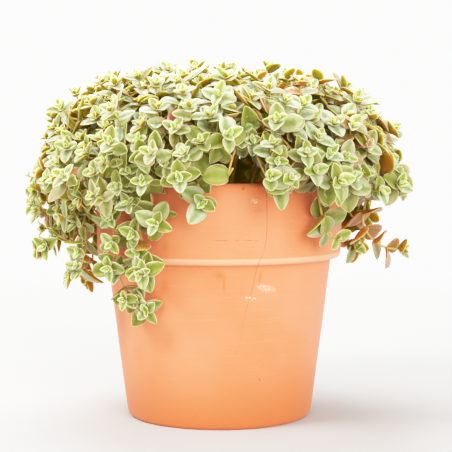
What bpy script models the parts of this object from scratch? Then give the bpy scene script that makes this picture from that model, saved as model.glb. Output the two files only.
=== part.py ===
"""A trailing crassula in a clay pot, as separate closed solids in metres.

The pot stands on its base at the origin, with +Z up and -Y towards the viewer. The pot and the potting
mix are turned shapes. The plant is a bush of branching leafy stems, each one solid that stands in its own
hole in the mix. The tips of its shoots are spread over a canopy surface, a low dome whose lower lip hangs
over the rim by a depth that changes round the pot. The stems in TRAILERS follow routes of their own over
the rim. Every leaf stays nearer to its own stem than to any other stem, so that no two stems cross.
"""

from dataclasses import dataclass, field

import bmesh
import bpy
import numpy as np
from mathutils.bvhtree import BVHTree

# Clay pot
POT_HEIGHT = 0.160
RIM_RADIUS = 0.0850
RIM_FOOT_RADIUS = 0.0838
RIM_FOOT_Z = 0.1120
COVE_Z = 0.1060
BODY_TOP_RADIUS = 0.0768
BASE_RADIUS = 0.0632
RIM_WALL = 0.0080
RIM_DRAFT = 0.0005
WALL = 0.0065
INNER_STEP = 0.0080
FLOOR = 0.0090
FLOOR_ROUND = 0.0040
EDGE_ROUND = 0.0030
EDGE_MIDDLE = 0.0009
DRAIN_RADIUS = 0.0100
POT_SEGMENTS = 38
SHARP_ANGLE = 35

# Potting mix, which keeps off the pot by more than the gap at a stem because both are faceted
MIX_DROP = 0.0120
MIX_CROWN = 0.0020
MIX_EDGE = 0.0010
MIX_GAP = 0.0006
SEAT_GAP = 0.0003
MIX_SEGMENTS = 24
HOLE_DEPTH = 0.0080

# Canopy that the tips lie on, and its lower lip: azimuth in degrees from +X towards +Y, and height
CANOPY_RADIUS = 0.1240
CANOPY_HEIGHT = 0.0710
CANOPY_BASE_Z = 0.1600
CANOPY_ROUNDNESS = 2.6
DOME_SHARE = 0.82
LIP_TUCK = 0.0100
LIP_LEAN = 0.2
LIP_HEIGHTS = {
    0: 0.136,
    50: 0.130,
    95: 0.124,
    140: 0.122,
    180: 0.120,
    212: 0.138,
    238: 0.158,
    270: 0.167,
    300: 0.160,
    328: 0.146,
}

# Stems of the bush
SEED = 18
MAIN_STEMS = 32
SHOOTS = 74
FIRST_TRAILER = 900
STEM_RADIUS = 0.0011
SHOOT_RADIUS = 0.0009
TIP_TAPER = 0.25
MAIN_SIZES = (0.95, 1.15)
SIDE_SIZES = (0.88, 1.10)
FORKS = (0.50, 0.66)
FORK_STEPS = 40

# Roots, and the room that stems leave between them
ROOT_SPREAD = 0.0660
ROOT_MARGIN = 0.0030
ROOT_SPACING = 0.0085
ROOT_RISE = 0.0030
ROOT_ROUNDS = 60
STEM_SPACING = 0.0070
STEM_ROUNDS = 24
SKELETON_STEP = 0.0020

# How a main stem bends: over the rim where its tip is low, and otherwise at a point between root and tip
RIM_PASS = 0.0010
RIM_CLEARANCE = 0.0110
RIM_SWAY = 0.0040
RIM_DROOP = 0.4
TIP_RUN = 0.0160
BEND_OUT = 0.55
BEND_TUCK = 0.97
BEND_UP = 0.52
BEND_RISE = 0.0100

# How a side shoot bends, as shares of its reach: along its main stem, towards its tip, and behind its tip
SIDE_LEAD = 0.12
SIDE_TURN = 0.22
SIDE_RUN = 0.25

# How far the tips sink into the canopy, and how they turn away from its normal
TIP_SINKS = (-0.003, 0.007)
TIP_SCATTER = 0.28
TIP_LIFT = 0.30
LOW_TIP_LIFT = 0.10

# Leaves: for each pair, counted from the tip, the bare stem above it, its length and its angle to the stem
TIP_PAIRS = ((0.0, 0.0110, 50), (0.0, 0.0145, 68), (0.0085, 0.0170, 82))
TRAIL_PAIRS = (
    (0.0, 0.0090, 48),
    (0.0, 0.0120, 66),
    (0.0070, 0.0150, 74),
    (0.0090, 0.0165, 78),
    (0.0110, 0.0175, 80),
)
LEAFY_SHARE = 0.8
LEAF_SCATTER = (6, 0.10, 0.07)
LEAF_WIDTH = 0.74
LEAF_FOOT = 0.0009
LEAF_THICKNESS = 0.11
LEAST_THICKNESS = 0.0013
KEEL_PLACE = 0.34
RING_GAP = 0.0040

# A leaf's outline from one shoulder round its tip to the other: across and along, as shares of its size
LEAF_OUTLINE = np.array([(0.50, 0.38), (0.37, 0.72), (0.0, 1.0), (-0.37, 0.72), (-0.50, 0.38)])

# A leaf's faces: corners 0 and 1 are on the stem above it, 2 and 3 below it, then its outline and its keel
LEAF_FACES = (
    (1, 0, 4, 5, 6, 7, 8),
    (9, 2, 3),
    (9, 3, 8),
    (9, 8, 7),
    (9, 7, 6),
    (9, 6, 5),
    (9, 5, 4),
    (9, 4, 2),
    (0, 2, 4),
    (1, 8, 3),
)

# How a leaf gives way: the room it needs, then the steps in which it folds up, in degrees, and shrinks
STEM_GAP = 0.0004
CELL_GAP = 0.0008
POT_GAP = 0.0008
DRAWN_IN = 0.95
LEAST_ANGLE = 16
BEND_STEP = 13
BENDS = 5
SHRINKS = 2
SHRINK = 0.86

# Stems that leave the bush: where each stands in the mix, then where it passes, in millimetres
HOOK = 0.0080
HOOK_LIFT = 0.25
HOOK_LEAD = 0.5
TRAILERS = {
    "trailing_stem_left_long": (
        (-46, -42),
        [(-58, -58, 172), (-66, -67, 158), (-67, -66, 130), (-66, -63, 106), (-59, -62, 90), (-45, -64, 79)],
    ),
    "trailing_stem_left_rosette": (
        (-38, -52),
        [(-47, -66, 173), (-52, -78, 158), (-50, -80, 134), (-47, -80, 115), (-45, -87, 106)],
    ),
    "trailing_stem_front_left": (
        (-28, -58),
        [(-38, -71, 171), (-43, -82, 160), (-41, -84, 145), (-38, -91, 137)],
    ),
    "trailing_stem_front": (
        (-6, -62),
        [(-12, -75, 168), (-14, -88, 164), (-10, -95, 150)],
    ),
    "trailing_stem_front_right": (
        (26, -56),
        [(30, -72, 170), (33, -86, 168), (34, -95, 158)],
    ),
    "trailing_stem_large_leaves": (
        (48, -42),
        [(55, -58, 171), (62, -70, 163), (64, -70, 146), (69, -70, 127)],
    ),
    "trailing_stem_far_right": (
        (60, -14),
        [(80, -18, 172), (98, -20, 156), (97, -20, 132), (104, -20, 121), (114, -22, 115)],
    ),
    "trailing_stem_left_hanging": (
        (-56, -26),
        [(-72, -32, 172), (-86, -38, 162), (-88, -40, 138), (-88, -40, 118), (-91, -42, 101)],
    ),
    "trailing_stem_left_low": (
        (-63, -10),
        [(-80, -12, 174), (-99, -16, 158), (-105, -18, 134), (-114, -20, 117)],
    ),
    "trailing_stem_right_back": (
        (54, 34),
        [(70, 44, 172), (86, 54, 156), (90, 57, 130), (96, 60, 112)],
    ),
    "trailing_stem_back_right": (
        (22, 60),
        [(28, 76, 173), (34, 92, 158), (36, 97, 130), (34, 99, 106)],
    ),
    "trailing_stem_back_left": (
        (-24, 58),
        [(-32, 76, 172), (-40, 93, 156), (-42, 98, 128), (-46, 104, 112)],
    ),
    "trailing_stem_left_back": (
        (-54, 34),
        [(-68, 46, 173), (-84, 58, 158), (-90, 62, 132), (-94, 64, 104), (-92, 62, 88)],
    ),
}


@dataclass
class Shoot:
    """One stretch of stem that ends in leaves: its points from foot to tip, its radius and its leaf pairs.

    A side shoot forks off the first shoot of its stem, a share of the way up it. The leaves are kept by the
    ring of the stem's mesh that each grows from and the side of the stem that it grows on.
    """

    number: int
    route: np.ndarray
    radius: float
    pairs: tuple
    size: float = 1.0
    fork: float = 0.0
    leaves: dict = field(default_factory=dict)


@dataclass
class Stem:
    """One branching leafy stem: its shoots, the first of which stands in the mix."""

    name: str
    shoots: list


@dataclass
class Leaf:
    """One leaf: its angle to the stem and its swing to one side, both in radians, and its length."""

    angle: float
    swing: float
    length: float


def draw_for(number, purpose):
    """A random generator for one shoot and one purpose, so that no draw depends on another."""
    purposes = ("facing", "growth", "turn", "leaves")
    return np.random.default_rng([SEED, number, purposes.index(purpose)])


def unit(vectors):
    """The vectors at length 1, along the last axis."""
    return vectors / np.maximum(np.linalg.norm(vectors, axis=-1, keepdims=True), 1e-12)


def outer_radius(z):
    """The pot's outer radius at each height."""
    heights = (0.0, COVE_Z, RIM_FOOT_Z, POT_HEIGHT)
    return np.interp(z, heights, (BASE_RADIUS, BODY_TOP_RADIUS, RIM_FOOT_RADIUS, RIM_RADIUS))


def inner_radius(z):
    """The pot's inner radius at each height."""
    heights = (FLOOR, COVE_Z - INNER_STEP, COVE_Z, POT_HEIGHT)
    inside_rim = RIM_RADIUS - RIM_WALL
    radii = (BASE_RADIUS - WALL, BODY_TOP_RADIUS - WALL, inside_rim - RIM_DRAFT, inside_rim)
    return np.interp(z, heights, radii)


def mix_height(radius):
    """The height of the potting mix, which is a little crowned."""
    edge = inner_radius(POT_HEIGHT - MIX_DROP)
    return POT_HEIGHT - MIX_DROP + MIX_CROWN * (1 - (radius / edge) ** 2)


def lip_height(azimuth):
    """The height of the canopy's lower lip at each azimuth in radians."""
    return np.interp(np.degrees(azimuth) % 360, list(LIP_HEIGHTS), list(LIP_HEIGHTS.values()), period=360)


def dome(tilt):
    """The canopy dome, a superellipse: its radius and height, and its normal, at each angle from +Z."""
    side = (np.sin(tilt) / CANOPY_RADIUS) ** CANOPY_ROUNDNESS
    rise = (np.cos(tilt) / CANOPY_HEIGHT) ** CANOPY_ROUNDNESS
    reach = (side + rise) ** (-1 / CANOPY_ROUNDNESS)
    power = 1 - 1 / CANOPY_ROUNDNESS
    place = reach * np.array([np.sin(tilt), np.cos(tilt)])
    return place, np.array([side**power / CANOPY_RADIUS, rise**power / CANOPY_HEIGHT])


def canopy_pool(rng, draws=30000, step=0.01):
    """Points spread evenly over the canopy, with their normals and their share of the way to the lip.

    The upper part is the dome, and the lower part a wall that tucks in as it goes down to the lip. A draw is
    kept with a chance in proportion to the area that it stands for.
    """
    azimuth = rng.uniform(0, 2 * np.pi, draws)
    way = rng.uniform(0, 2, draws)
    chance = rng.uniform(0, 1, draws)
    tilt = np.minimum(way, 1) * np.pi / 2
    below = np.maximum(way - 1, 0)
    place, normal = dome(tilt)
    beyond, _ = dome(np.minimum(tilt + step, np.pi / 2))
    slope = np.hypot(*(beyond - place)) / step * np.pi / 2
    drop = CANOPY_BASE_Z - lip_height(azimuth)
    radius, rise = np.where(way < 1, place, [CANOPY_RADIUS - LIP_TUCK * below**2, -drop * below])
    out_part, up_part = np.where(way < 1, normal, [np.ones(draws), -LIP_LEAN * below])
    area = radius * np.where(way < 1, slope, np.maximum(drop, 0))
    compass = np.array([np.cos(azimuth), np.sin(azimuth)])
    points = np.array([*compass * radius, CANOPY_BASE_Z + rise]).T
    normals = np.array([*compass * out_part, up_part]).T
    share = DOME_SHARE * tilt / (np.pi / 2) + (1 - DOME_SHARE) * below
    chosen = (chance * area.max() < area) & (points[:, 2] > lip_height(azimuth))
    return points[chosen], unit(normals[chosen]), share[chosen]


def spread_out(points, taken, count, rng, choices=24):
    """Indices of points, each the one of a few random choices that lies furthest from all before it."""
    gap = np.linalg.norm(points[:, None] - taken[None], axis=2).min(1)
    found = []
    for _ in range(count):
        trial = rng.integers(0, len(points), choices)
        best = int(trial[np.argmax(gap[trial])])
        found.append(best)
        gap = np.minimum(gap, np.linalg.norm(points - points[best], axis=1))
    return found


def lengths_along(line):
    """How far along a line of straight pieces each of its points lies."""
    return np.concatenate([[0], np.cumsum(np.linalg.norm(np.diff(line, axis=0), axis=1))])


def at_lengths(line, lengths):
    """The points at given lengths along a line of straight pieces."""
    along = lengths_along(line)
    return np.stack([np.interp(lengths, along, line[:, k]) for k in range(3)], 1)


def evenly(line, count):
    """Points at equal steps along a line of straight pieces."""
    return at_lengths(line, np.linspace(0, lengths_along(line)[-1], count))


def through(waypoints, count):
    """Points at equal steps along a Catmull-Rom curve through the waypoints."""
    ways = np.asarray(waypoints, float)
    ends = np.vstack([2 * ways[0] - ways[1], ways, 2 * ways[-1] - ways[-2]])
    t = np.linspace(0, 1, 16, endpoint=False)[:, None]
    spans = []
    for a, b, c, d in zip(ends, ends[1:], ends[2:], ends[3:]):
        spans.append(b + 0.5 * t * (c - a + t * (2 * a - 5 * b + 4 * c - d + t * (3 * (b - c) + d - a))))
    return evenly(np.vstack([*spans, ways[-1:]]), count)


def part_roots(roots, fixed):
    """The roots, moved apart until they keep ROOT_SPACING. The fixed ones stay where they are."""
    for _ in range(ROOT_ROUNDS):
        apart = roots[:, None] - np.vstack([roots, fixed])[None]
        gap = np.linalg.norm(apart, axis=2)
        np.fill_diagonal(gap, 1.0)
        short = np.clip(ROOT_SPACING - gap, 0, None)
        roots = roots + 0.5 * (unit(apart) * short[..., None]).sum(1)
        radius = np.linalg.norm(roots, axis=1, keepdims=True)
        roots = roots * np.minimum(1, (ROOT_SPREAD + ROOT_MARGIN) / np.maximum(radius, 1e-6))
    return roots


def main_route(root, tip, facing, sway):
    """The route of a main stem: straight up out of the mix, then fanning out to its tip.

    A stem with a low tip goes over the rim first, at a height that its sway changes.
    """
    if tip[2] < POT_HEIGHT + TIP_RUN:
        bend = unit(tip * [1, 1, 0]) * (RIM_RADIUS + RIM_PASS)
        bend[2] = POT_HEIGHT + RIM_CLEARANCE + sway
        droop = RIM_DROOP * max(0.0, bend[2] - tip[2])
        behind_tip = tip - 0.5 * TIP_RUN * facing + [0, 0, droop]
    else:
        bend = BEND_TUCK * ((1 - BEND_OUT) * root + BEND_OUT * tip)
        bend[2] = root[2] + BEND_UP * (tip[2] - root[2]) + BEND_RISE
        behind_tip = tip - TIP_RUN * facing
    route = through([root + [0, 0, ROOT_RISE], bend, behind_tip, tip], 6)
    return np.vstack([root - [0, 0, HOLE_DEPTH], route])


def fork_at(main, share):
    """The point a share of the way up a main stem, above the mix, and the stem's direction there."""
    line = evenly(main[1:], FORK_STEPS + 1)
    index = round(FORK_STEPS * share)
    return line[index], unit(line[index + FORK_STEPS // 10] - line[index])


def side_route(main, tip, facing, share):
    """The route of a side shoot, which forks off a main stem a share of the way up it."""
    foot, lead = fork_at(main, share)
    reach = np.linalg.norm(tip - foot)
    bend = foot + SIDE_LEAD * reach * lead + SIDE_TURN * (tip - foot)
    return through([foot, bend, tip - SIDE_RUN * reach * facing, tip], 5)


def trailer_route(root, passes):
    """The route of a trailing stem through its points, given in millimetres, with its tip turned outwards."""
    root = np.array([*root, 0.0]) / 1000
    root[2] = mix_height(np.hypot(root[0], root[1]))
    ways = [root + [0, 0, ROOT_RISE]] + [np.array(p) / 1000 for p in passes]
    hook = unit(ways[-1] * [1, 1, 0]) + [0, 0, HOOK_LIFT] + HOOK_LEAD * unit(ways[-1] - ways[-2])
    ways.append(ways[-1] + HOOK * unit(hook))
    return np.vstack([root - [0, 0, HOLE_DEPTH], through(ways, 4 + 2 * len(passes))])


def choose_tips(trailers):
    """The tips of the bush's shoots, the way each faces, and its share of the way to the lip."""
    rng = np.random.default_rng(SEED)
    points, normals, share = canopy_pool(rng)
    taken = np.array([route[-1] for route in trailers.values()])
    order = spread_out(points, taken, SHOOTS, rng)
    tips, facing = points[order], normals[order]
    for i in range(SHOOTS):
        draw = draw_for(i, "facing")
        lift = TIP_LIFT if tips[i][2] > POT_HEIGHT else LOW_TIP_LIFT
        turned_by = [0, 0, lift] + TIP_SCATTER * draw.normal(size=3)
        tips[i] -= facing[i] * draw.uniform(*TIP_SINKS)
        facing[i] = unit(facing[i] + turned_by)
    return tips, facing, share[order]


def grow_stems():
    """Every stem of the plant, with the routes of its shoots."""
    trailers = {name: trailer_route(root, passes) for name, (root, passes) in TRAILERS.items()}
    tips, facing, share = choose_tips(trailers)
    main_tips = tips[:MAIN_STEMS]
    roots = unit(main_tips[:, :2]) * ROOT_SPREAD * share[:MAIN_STEMS, None]
    roots = part_roots(roots, np.array([route[0][:2] for route in trailers.values()]))
    stems = []
    for i, flat in enumerate(roots):
        root = np.array([*flat, mix_height(np.linalg.norm(flat))])
        route = main_route(root, tips[i], facing[i], RIM_SWAY * (i % 3))
        size = draw_for(i, "growth").uniform(*MAIN_SIZES)
        stems.append(Stem(f"leafy_stem_{i + 1:02d}", [Shoot(i, route, STEM_RADIUS, TIP_PAIRS, size)]))
    for i in range(MAIN_STEMS, SHOOTS):
        home = stems[int(np.argmin(np.linalg.norm(main_tips - tips[i], axis=1)))]
        draw = draw_for(i, "growth")
        fork, size = draw.uniform(*FORKS), draw.uniform(*SIDE_SIZES)
        route = side_route(home.shoots[0].route, tips[i], facing[i], fork)
        home.shoots.append(Shoot(i, route, SHOOT_RADIUS, TIP_PAIRS, size, fork))
    for i, (name, route) in enumerate(trailers.items(), start=FIRST_TRAILER):
        stems.append(Stem(name, [Shoot(i, route, STEM_RADIUS, TRAIL_PAIRS)]))
    return stems


def skeleton(stems):
    """Points at small steps along every shoot, and the number of the stem that each belongs to."""
    points, owners = [], []
    for number, stem in enumerate(stems):
        for shoot in stem.shoots:
            length = lengths_along(shoot.route)[-1]
            line = evenly(shoot.route, max(3, int(length / SKELETON_STEP)))
            points.append(line)
            owners.append(np.full(len(line), number))
    return np.vstack(points), np.concatenate(owners)


def part_stems(stems):
    """Bends stems clear that pass too close to each other, except at their roots. Forks follow them."""
    for _ in range(STEM_ROUNDS):
        points, owners = skeleton(stems)
        for number, stem in enumerate(stems):
            others = points[owners != number]
            for shoot in stem.shoots:
                for point in shoot.route[1 if shoot.fork else 2 :]:
                    away = point - others
                    gap = np.linalg.norm(away, axis=1)
                    near = int(np.argmin(gap))
                    point += 0.5 * max(0.0, STEM_SPACING - gap[near]) * unit(away[near])
                if shoot.fork:
                    shoot.route[0] = fork_at(stem.shoots[0].route, shoot.fork)[0]


def ring_distances(shoot):
    """How far each ring of a shoot's mesh lies from the tip, and the ring above each pair of leaves."""
    back = lengths_along(shoot.route[::-1])
    rings, tops, at = [0.0], [], 0.0
    for bare, *_ in shoot.pairs:
        at += bare * shoot.size
        if at + LEAF_FOOT > LEAFY_SHARE * back[-1]:
            break
        if bare:
            rings.append(at)
        tops.append(len(rings) - 1)
        at += LEAF_FOOT
        rings.append(at)
    rings += [d for d in back if d > at + RING_GAP]
    return np.array(rings), tops


def shoot_rings(shoot, distances):
    """The four corners of each ring of a shoot from the tip down, and the stem's direction at each ring."""
    reverse = shoot.route[::-1]
    back = lengths_along(reverse)
    centres = at_lengths(reverse, distances)
    ahead = unit(-np.gradient(reverse, back, axis=0))
    directions = unit(np.stack([np.interp(distances, back, ahead[:, k]) for k in range(3)], 1))
    if not shoot.fork:
        directions[-2:] = (0, 0, 1)
    turn = draw_for(shoot.number, "turn").uniform(0, 2 * np.pi)
    across = np.array([np.cos(turn), np.sin(turn), 0.0])
    rings = np.zeros((len(distances), 4, 3))
    for k in reversed(range(len(distances))):
        across = unit(across - directions[k] * (across @ directions[k]))
        other = np.cross(directions[k], across)
        radius = shoot.radius * (1 - TIP_TAPER * (1 - distances[k] / back[-1]))
        rings[k] = centres[k] + radius * np.array([across, other, -across, -other])
    return rings, directions


def leaf_corners(leaf, upper, lower, direction):
    """A leaf's ten corners: four on the stem, five round its flat upper face, and the keel under it.

    The leaf grows from the side of the stem between two corners of the ring above it and two of the ring
    below it. Its upper face passes through the upper two.
    """
    middle = upper.mean(0)
    across = unit(upper[0] - upper[1])
    side = np.cross(direction, across)
    face = np.sin(leaf.angle) * direction - np.cos(leaf.angle) * side
    along = np.cos(leaf.angle) * direction + np.sin(leaf.angle) * side
    along = unit(along + np.tan(leaf.swing) * across)
    outline = middle + leaf.length * (LEAF_OUTLINE * [LEAF_WIDTH, 1]) @ np.array([across, along])
    thick = max(LEAST_THICKNESS, LEAF_THICKNESS * leaf.length)
    keel = middle + KEEL_PLACE * leaf.length * along - thick * face
    return np.vstack([upper, lower, outline, keel])


def leaf_samples(corners):
    """The free corners of a leaf and points between them, to test where it reaches."""
    outline, keel = corners[4:9], corners[9]
    between = (outline[1:] + outline[:-1]) / 2
    ribs = (outline + corners[:2].mean(0)) / 2
    return np.vstack([outline, between, ribs, (outline + keel) / 2, keel])


def leaf_tree(corners):
    """A search tree of a leaf's faces, drawn in a little so that a shared corner isn't a crossing."""
    middle = corners.mean(0)
    return BVHTree.FromPolygons((middle + DRAWN_IN * (corners - middle)).tolist(), LEAF_FACES)


def bare_tree(shoot):
    """A search tree of a shoot's stem without its leaves."""
    rings, _ = shoot_rings(shoot, ring_distances(shoot)[0])
    faces = []
    for ring in range(len(rings) - 1):
        for side in range(4):
            a, b = 4 * ring + side, 4 * ring + (side + 1) % 4
            faces.append((a, a + 4, b + 4, b))
    return BVHTree.FromPolygons(rings.reshape(-1, 3).tolist(), faces)


def in_pot_or_mix(points, gap):
    """Which points lie in the pot or the mix, or nearer to them than the gap."""
    radius, z = np.hypot(points[:, 0], points[:, 1]), points[:, 2]
    wall = (radius > inner_radius(z) - gap) & (radius < outer_radius(z) + gap) & (z < POT_HEIGHT + gap)
    return wall | ((radius < inner_radius(z)) & (z < mix_height(radius) + gap))


def leaf_fits(samples, own, others, radius):
    """Whether a leaf's points lie nearest to its own stem, and clear of that stem, the pot and the mix."""
    near = np.linalg.norm(samples[:, None] - own[None], axis=2).min(1)
    far = np.linalg.norm(samples[:, None] - others[None], axis=2).min(1)
    off_stem = near[: len(LEAF_OUTLINE)] > radius + STEM_GAP
    in_cell = near + CELL_GAP < far
    return bool(off_stem.all() and in_cell.all() and not in_pot_or_mix(samples, POT_GAP).any())


def grow_leaves(shoot, own, others, grown):
    """Fills in a shoot's leaves: each is folded up, then made smaller, then left out, where it would cross.

    The search trees of all that a leaf mustn't cross are in grown, and those of the new leaves are added.
    """
    distances, tops = ring_distances(shoot)
    rings, directions = shoot_rings(shoot, distances)
    draw = draw_for(shoot.number, "leaves")
    for number, (top, (_, length, angle)) in enumerate(zip(tops, shoot.pairs)):
        for side in (number % 4, (number + 2) % 4):
            bent, swing, longer = LEAF_SCATTER * draw.normal(size=3)
            leaf = Leaf(np.radians(angle + bent), swing, length * shoot.size * (1 + longer))
            pick = [side, (side + 1) % 4]
            for attempt in range(BENDS + SHRINKS + 1):
                corners = leaf_corners(leaf, rings[top][pick], rings[top + 1][pick], directions[top])
                tree = leaf_tree(corners)
                crossing = any(tree.overlap(other) for other in grown)
                if not crossing and leaf_fits(leaf_samples(corners), own, others, shoot.radius):
                    grown.append(tree)
                    shoot.leaves[top, side] = corners
                    break
                if attempt < BENDS:
                    leaf.angle = max(np.radians(LEAST_ANGLE), leaf.angle - np.radians(BEND_STEP))
                else:
                    leaf.length *= SHRINK


def place_leaves(stems, reach=0.05):
    """Grows every stem's leaves inside the space that is nearer to it than to any other stem."""
    points, owners = skeleton(stems)
    for number, stem in enumerate(stems):
        own, others = points[owners == number], points[owners != number]
        middle = own.mean(0)
        span = np.linalg.norm(own - middle, axis=1).max()
        others = others[np.linalg.norm(others - middle, axis=1) < span + reach]
        bare = [bare_tree(shoot) for shoot in stem.shoots]
        leafy = []
        for index, shoot in enumerate(stem.shoots):
            siblings = bare[:index] + bare[index + 1 :]
            grown = siblings + leafy
            grow_leaves(shoot, own, others, grown)
            leafy = grown[len(siblings) :]


def shoot_solid(shoot):
    """A shoot's corners and faces: a four-sided stem, with a leaf in place of some of its sides."""
    rings, _ = shoot_rings(shoot, ring_distances(shoot)[0])
    corners = rings.reshape(-1, 3).tolist()
    last = len(corners) - 4
    faces = [(0, 1, 2, 3), (last + 3, last + 2, last + 1, last)]
    for ring in range(len(rings) - 1):
        for side in range(4):
            upper = (4 * ring + side, 4 * ring + (side + 1) % 4)
            lower = (upper[0] + 4, upper[1] + 4)
            if (ring, side) in shoot.leaves:
                index = (*upper, *lower, *range(len(corners), len(corners) + 6))
                corners += shoot.leaves[ring, side][4:].tolist()
                faces += [tuple(index[k] for k in face) for face in LEAF_FACES]
            else:
                faces.append((upper[0], lower[0], lower[1], upper[1]))
    return corners, faces


def make_object(name, corners, faces, collection=None):
    """A mesh object with outward normals, linked into a collection."""
    mesh = bpy.data.meshes.new(name)
    mesh.from_pydata(corners, [], faces)
    shaped = bmesh.new()
    shaped.from_mesh(mesh)
    bmesh.ops.recalc_face_normals(shaped, faces=shaped.faces)
    if shaped.calc_volume(signed=True) < 0:
        bmesh.ops.reverse_faces(shaped, faces=shaped.faces)
    shaped.to_mesh(mesh)
    shaped.free()
    obj = bpy.data.objects.new(name, mesh)
    (collection or bpy.context.scene.collection).objects.link(obj)
    return obj


def material(name, colour, roughness):
    """A plain surface of one colour."""
    made = bpy.data.materials.new(name)
    made.use_nodes = True
    shader = made.node_tree.nodes["Principled BSDF"]
    shader.inputs["Base Color"].default_value = (*colour, 1.0)
    shader.inputs["Roughness"].default_value = roughness
    shader.inputs["Metallic"].default_value = 0.0
    return made


def turned(name, profile, segments, surface):
    """A solid turned about the Z axis from a closed profile of (radius, height) points."""
    shaped = bmesh.new()
    points = [shaped.verts.new((r, 0.0, z)) for r, z in profile]
    edges = [shaped.edges.new((a, b)) for a, b in zip(points, points[1:] + points[:1])]
    swept = [e for e in edges if any(v.co.x > 0 for v in e.verts)]
    bmesh.ops.spin(
        shaped,
        geom=points + swept,
        cent=(0, 0, 0),
        axis=(0, 0, 1),
        angle=2 * np.pi,
        steps=segments,
        use_merge=True,
    )
    bmesh.ops.remove_doubles(shaped, verts=shaped.verts, dist=1e-6)
    loose = [e for e in shaped.edges if not e.link_faces]
    bmesh.ops.delete(shaped, geom=loose, context="EDGES")
    bmesh.ops.recalc_face_normals(shaped, faces=shaped.faces)
    mesh = bpy.data.meshes.new(name)
    shaped.to_mesh(mesh)
    shaped.free()
    mesh.shade_smooth()
    mesh.set_sharp_from_angle(angle=np.radians(SHARP_ANGLE))
    mesh.materials.append(surface)
    obj = bpy.data.objects.new(name, mesh)
    bpy.context.scene.collection.objects.link(obj)
    return obj


def make_pot(surface):
    """The clay pot, with a deep rim, a cove under it, a rounded lip and foot, and a drain hole."""
    inside_rim = RIM_RADIUS - RIM_WALL
    above_foot = RIM_FOOT_Z + EDGE_ROUND / 2
    below_lip = POT_HEIGHT - EDGE_ROUND
    profile = [
        (DRAIN_RADIUS, 0.0),
        (BASE_RADIUS - EDGE_ROUND, 0.0),
        (BASE_RADIUS - EDGE_MIDDLE, EDGE_MIDDLE),
        (outer_radius(EDGE_ROUND), EDGE_ROUND),
        (BODY_TOP_RADIUS, COVE_Z),
        (RIM_FOOT_RADIUS - EDGE_MIDDLE, RIM_FOOT_Z - EDGE_MIDDLE / 2),
        (outer_radius(above_foot), above_foot),
        (outer_radius(below_lip), below_lip),
        (RIM_RADIUS - EDGE_MIDDLE, POT_HEIGHT - EDGE_MIDDLE),
        (RIM_RADIUS - EDGE_ROUND, POT_HEIGHT),
        (inside_rim + EDGE_ROUND, POT_HEIGHT),
        (inside_rim, below_lip),
        (inner_radius(COVE_Z), COVE_Z),
        (inner_radius(COVE_Z - INNER_STEP), COVE_Z - INNER_STEP),
        (inner_radius(FLOOR + FLOOR_ROUND), FLOOR + FLOOR_ROUND),
        (inner_radius(FLOOR) - FLOOR_ROUND, FLOOR),
        (DRAIN_RADIUS, FLOOR),
    ]
    turned("pot", profile, POT_SEGMENTS, surface)


def make_mix(stems, surface):
    """The potting mix that fills the pot, with a hole for each stem."""
    edge_z = POT_HEIGHT - MIX_DROP
    edge_radius = inner_radius(edge_z) - MIX_GAP
    sides = [FLOOR + FLOOR_ROUND, COVE_Z - INNER_STEP, COVE_Z]
    profile = [
        (0.0, FLOOR + SEAT_GAP),
        (inner_radius(FLOOR) - FLOOR_ROUND - MIX_GAP, FLOOR + SEAT_GAP),
        *((inner_radius(z) - MIX_GAP, z + SEAT_GAP) for z in sides),
        (edge_radius, edge_z - MIX_EDGE),
        *((share * edge_radius, mix_height(share * edge_radius)) for share in (0.97, 0.66, 0.33, 0.0)),
    ]
    mix = turned("potting_mix", profile, MIX_SEGMENTS, surface)
    cutters = bpy.data.collections.new("stem_holes")
    bpy.context.scene.collection.children.link(cutters)
    for stem in stems:
        shoot = stem.shoots[0]
        foot = shoot_rings(shoot, ring_distances(shoot)[0])[0][-1]
        middle = foot.mean(0)
        wide = middle + (foot - middle) * (1 + np.sqrt(2) * SEAT_GAP / shoot.radius)
        corners = np.vstack([wide - [0, 0, SEAT_GAP], wide + [0, 0, 2 * HOLE_DEPTH]])
        around = [(k, (k + 1) % 4, (k + 1) % 4 + 4, k + 4) for k in range(4)]
        make_object(stem.name + "_hole", corners.tolist(), [(0, 1, 2, 3), (4, 5, 6, 7), *around], cutters)
    combine(mix, cutters, "DIFFERENCE", "EXACT")


def combine(obj, collection, operation, solver):
    """Applies one Boolean of a collection's objects to an object, then removes the collection."""
    join = obj.modifiers.new("combine", "BOOLEAN")
    join.operation = operation
    join.operand_type = "COLLECTION"
    join.collection = collection
    join.solver = solver
    graph = bpy.context.evaluated_depsgraph_get()
    solid = bpy.data.meshes.new_from_object(obj.evaluated_get(graph))
    obj.modifiers.clear()
    obj.data = solid
    for helper in list(collection.objects):
        bpy.data.objects.remove(helper)
    bpy.data.collections.remove(collection)


def keep_largest_shell(obj):
    """Leaves only the solid's outer surface, so that small spaces shut in where shoots meet are filled."""
    shaped = bmesh.new()
    shaped.from_mesh(obj.data)
    left, shells = set(shaped.faces), []
    while left:
        shell, front = set(), [left.pop()]
        while front:
            face = front.pop()
            shell.add(face)
            touching = {f for e in face.edges for f in e.link_faces} & left
            left -= touching
            front += touching
        shells.append(shell)
    largest = max(shells, key=len)
    bmesh.ops.delete(shaped, geom=[f for f in shaped.faces if f not in largest], context="FACES")
    shaped.to_mesh(obj.data)
    shaped.free()


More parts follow.
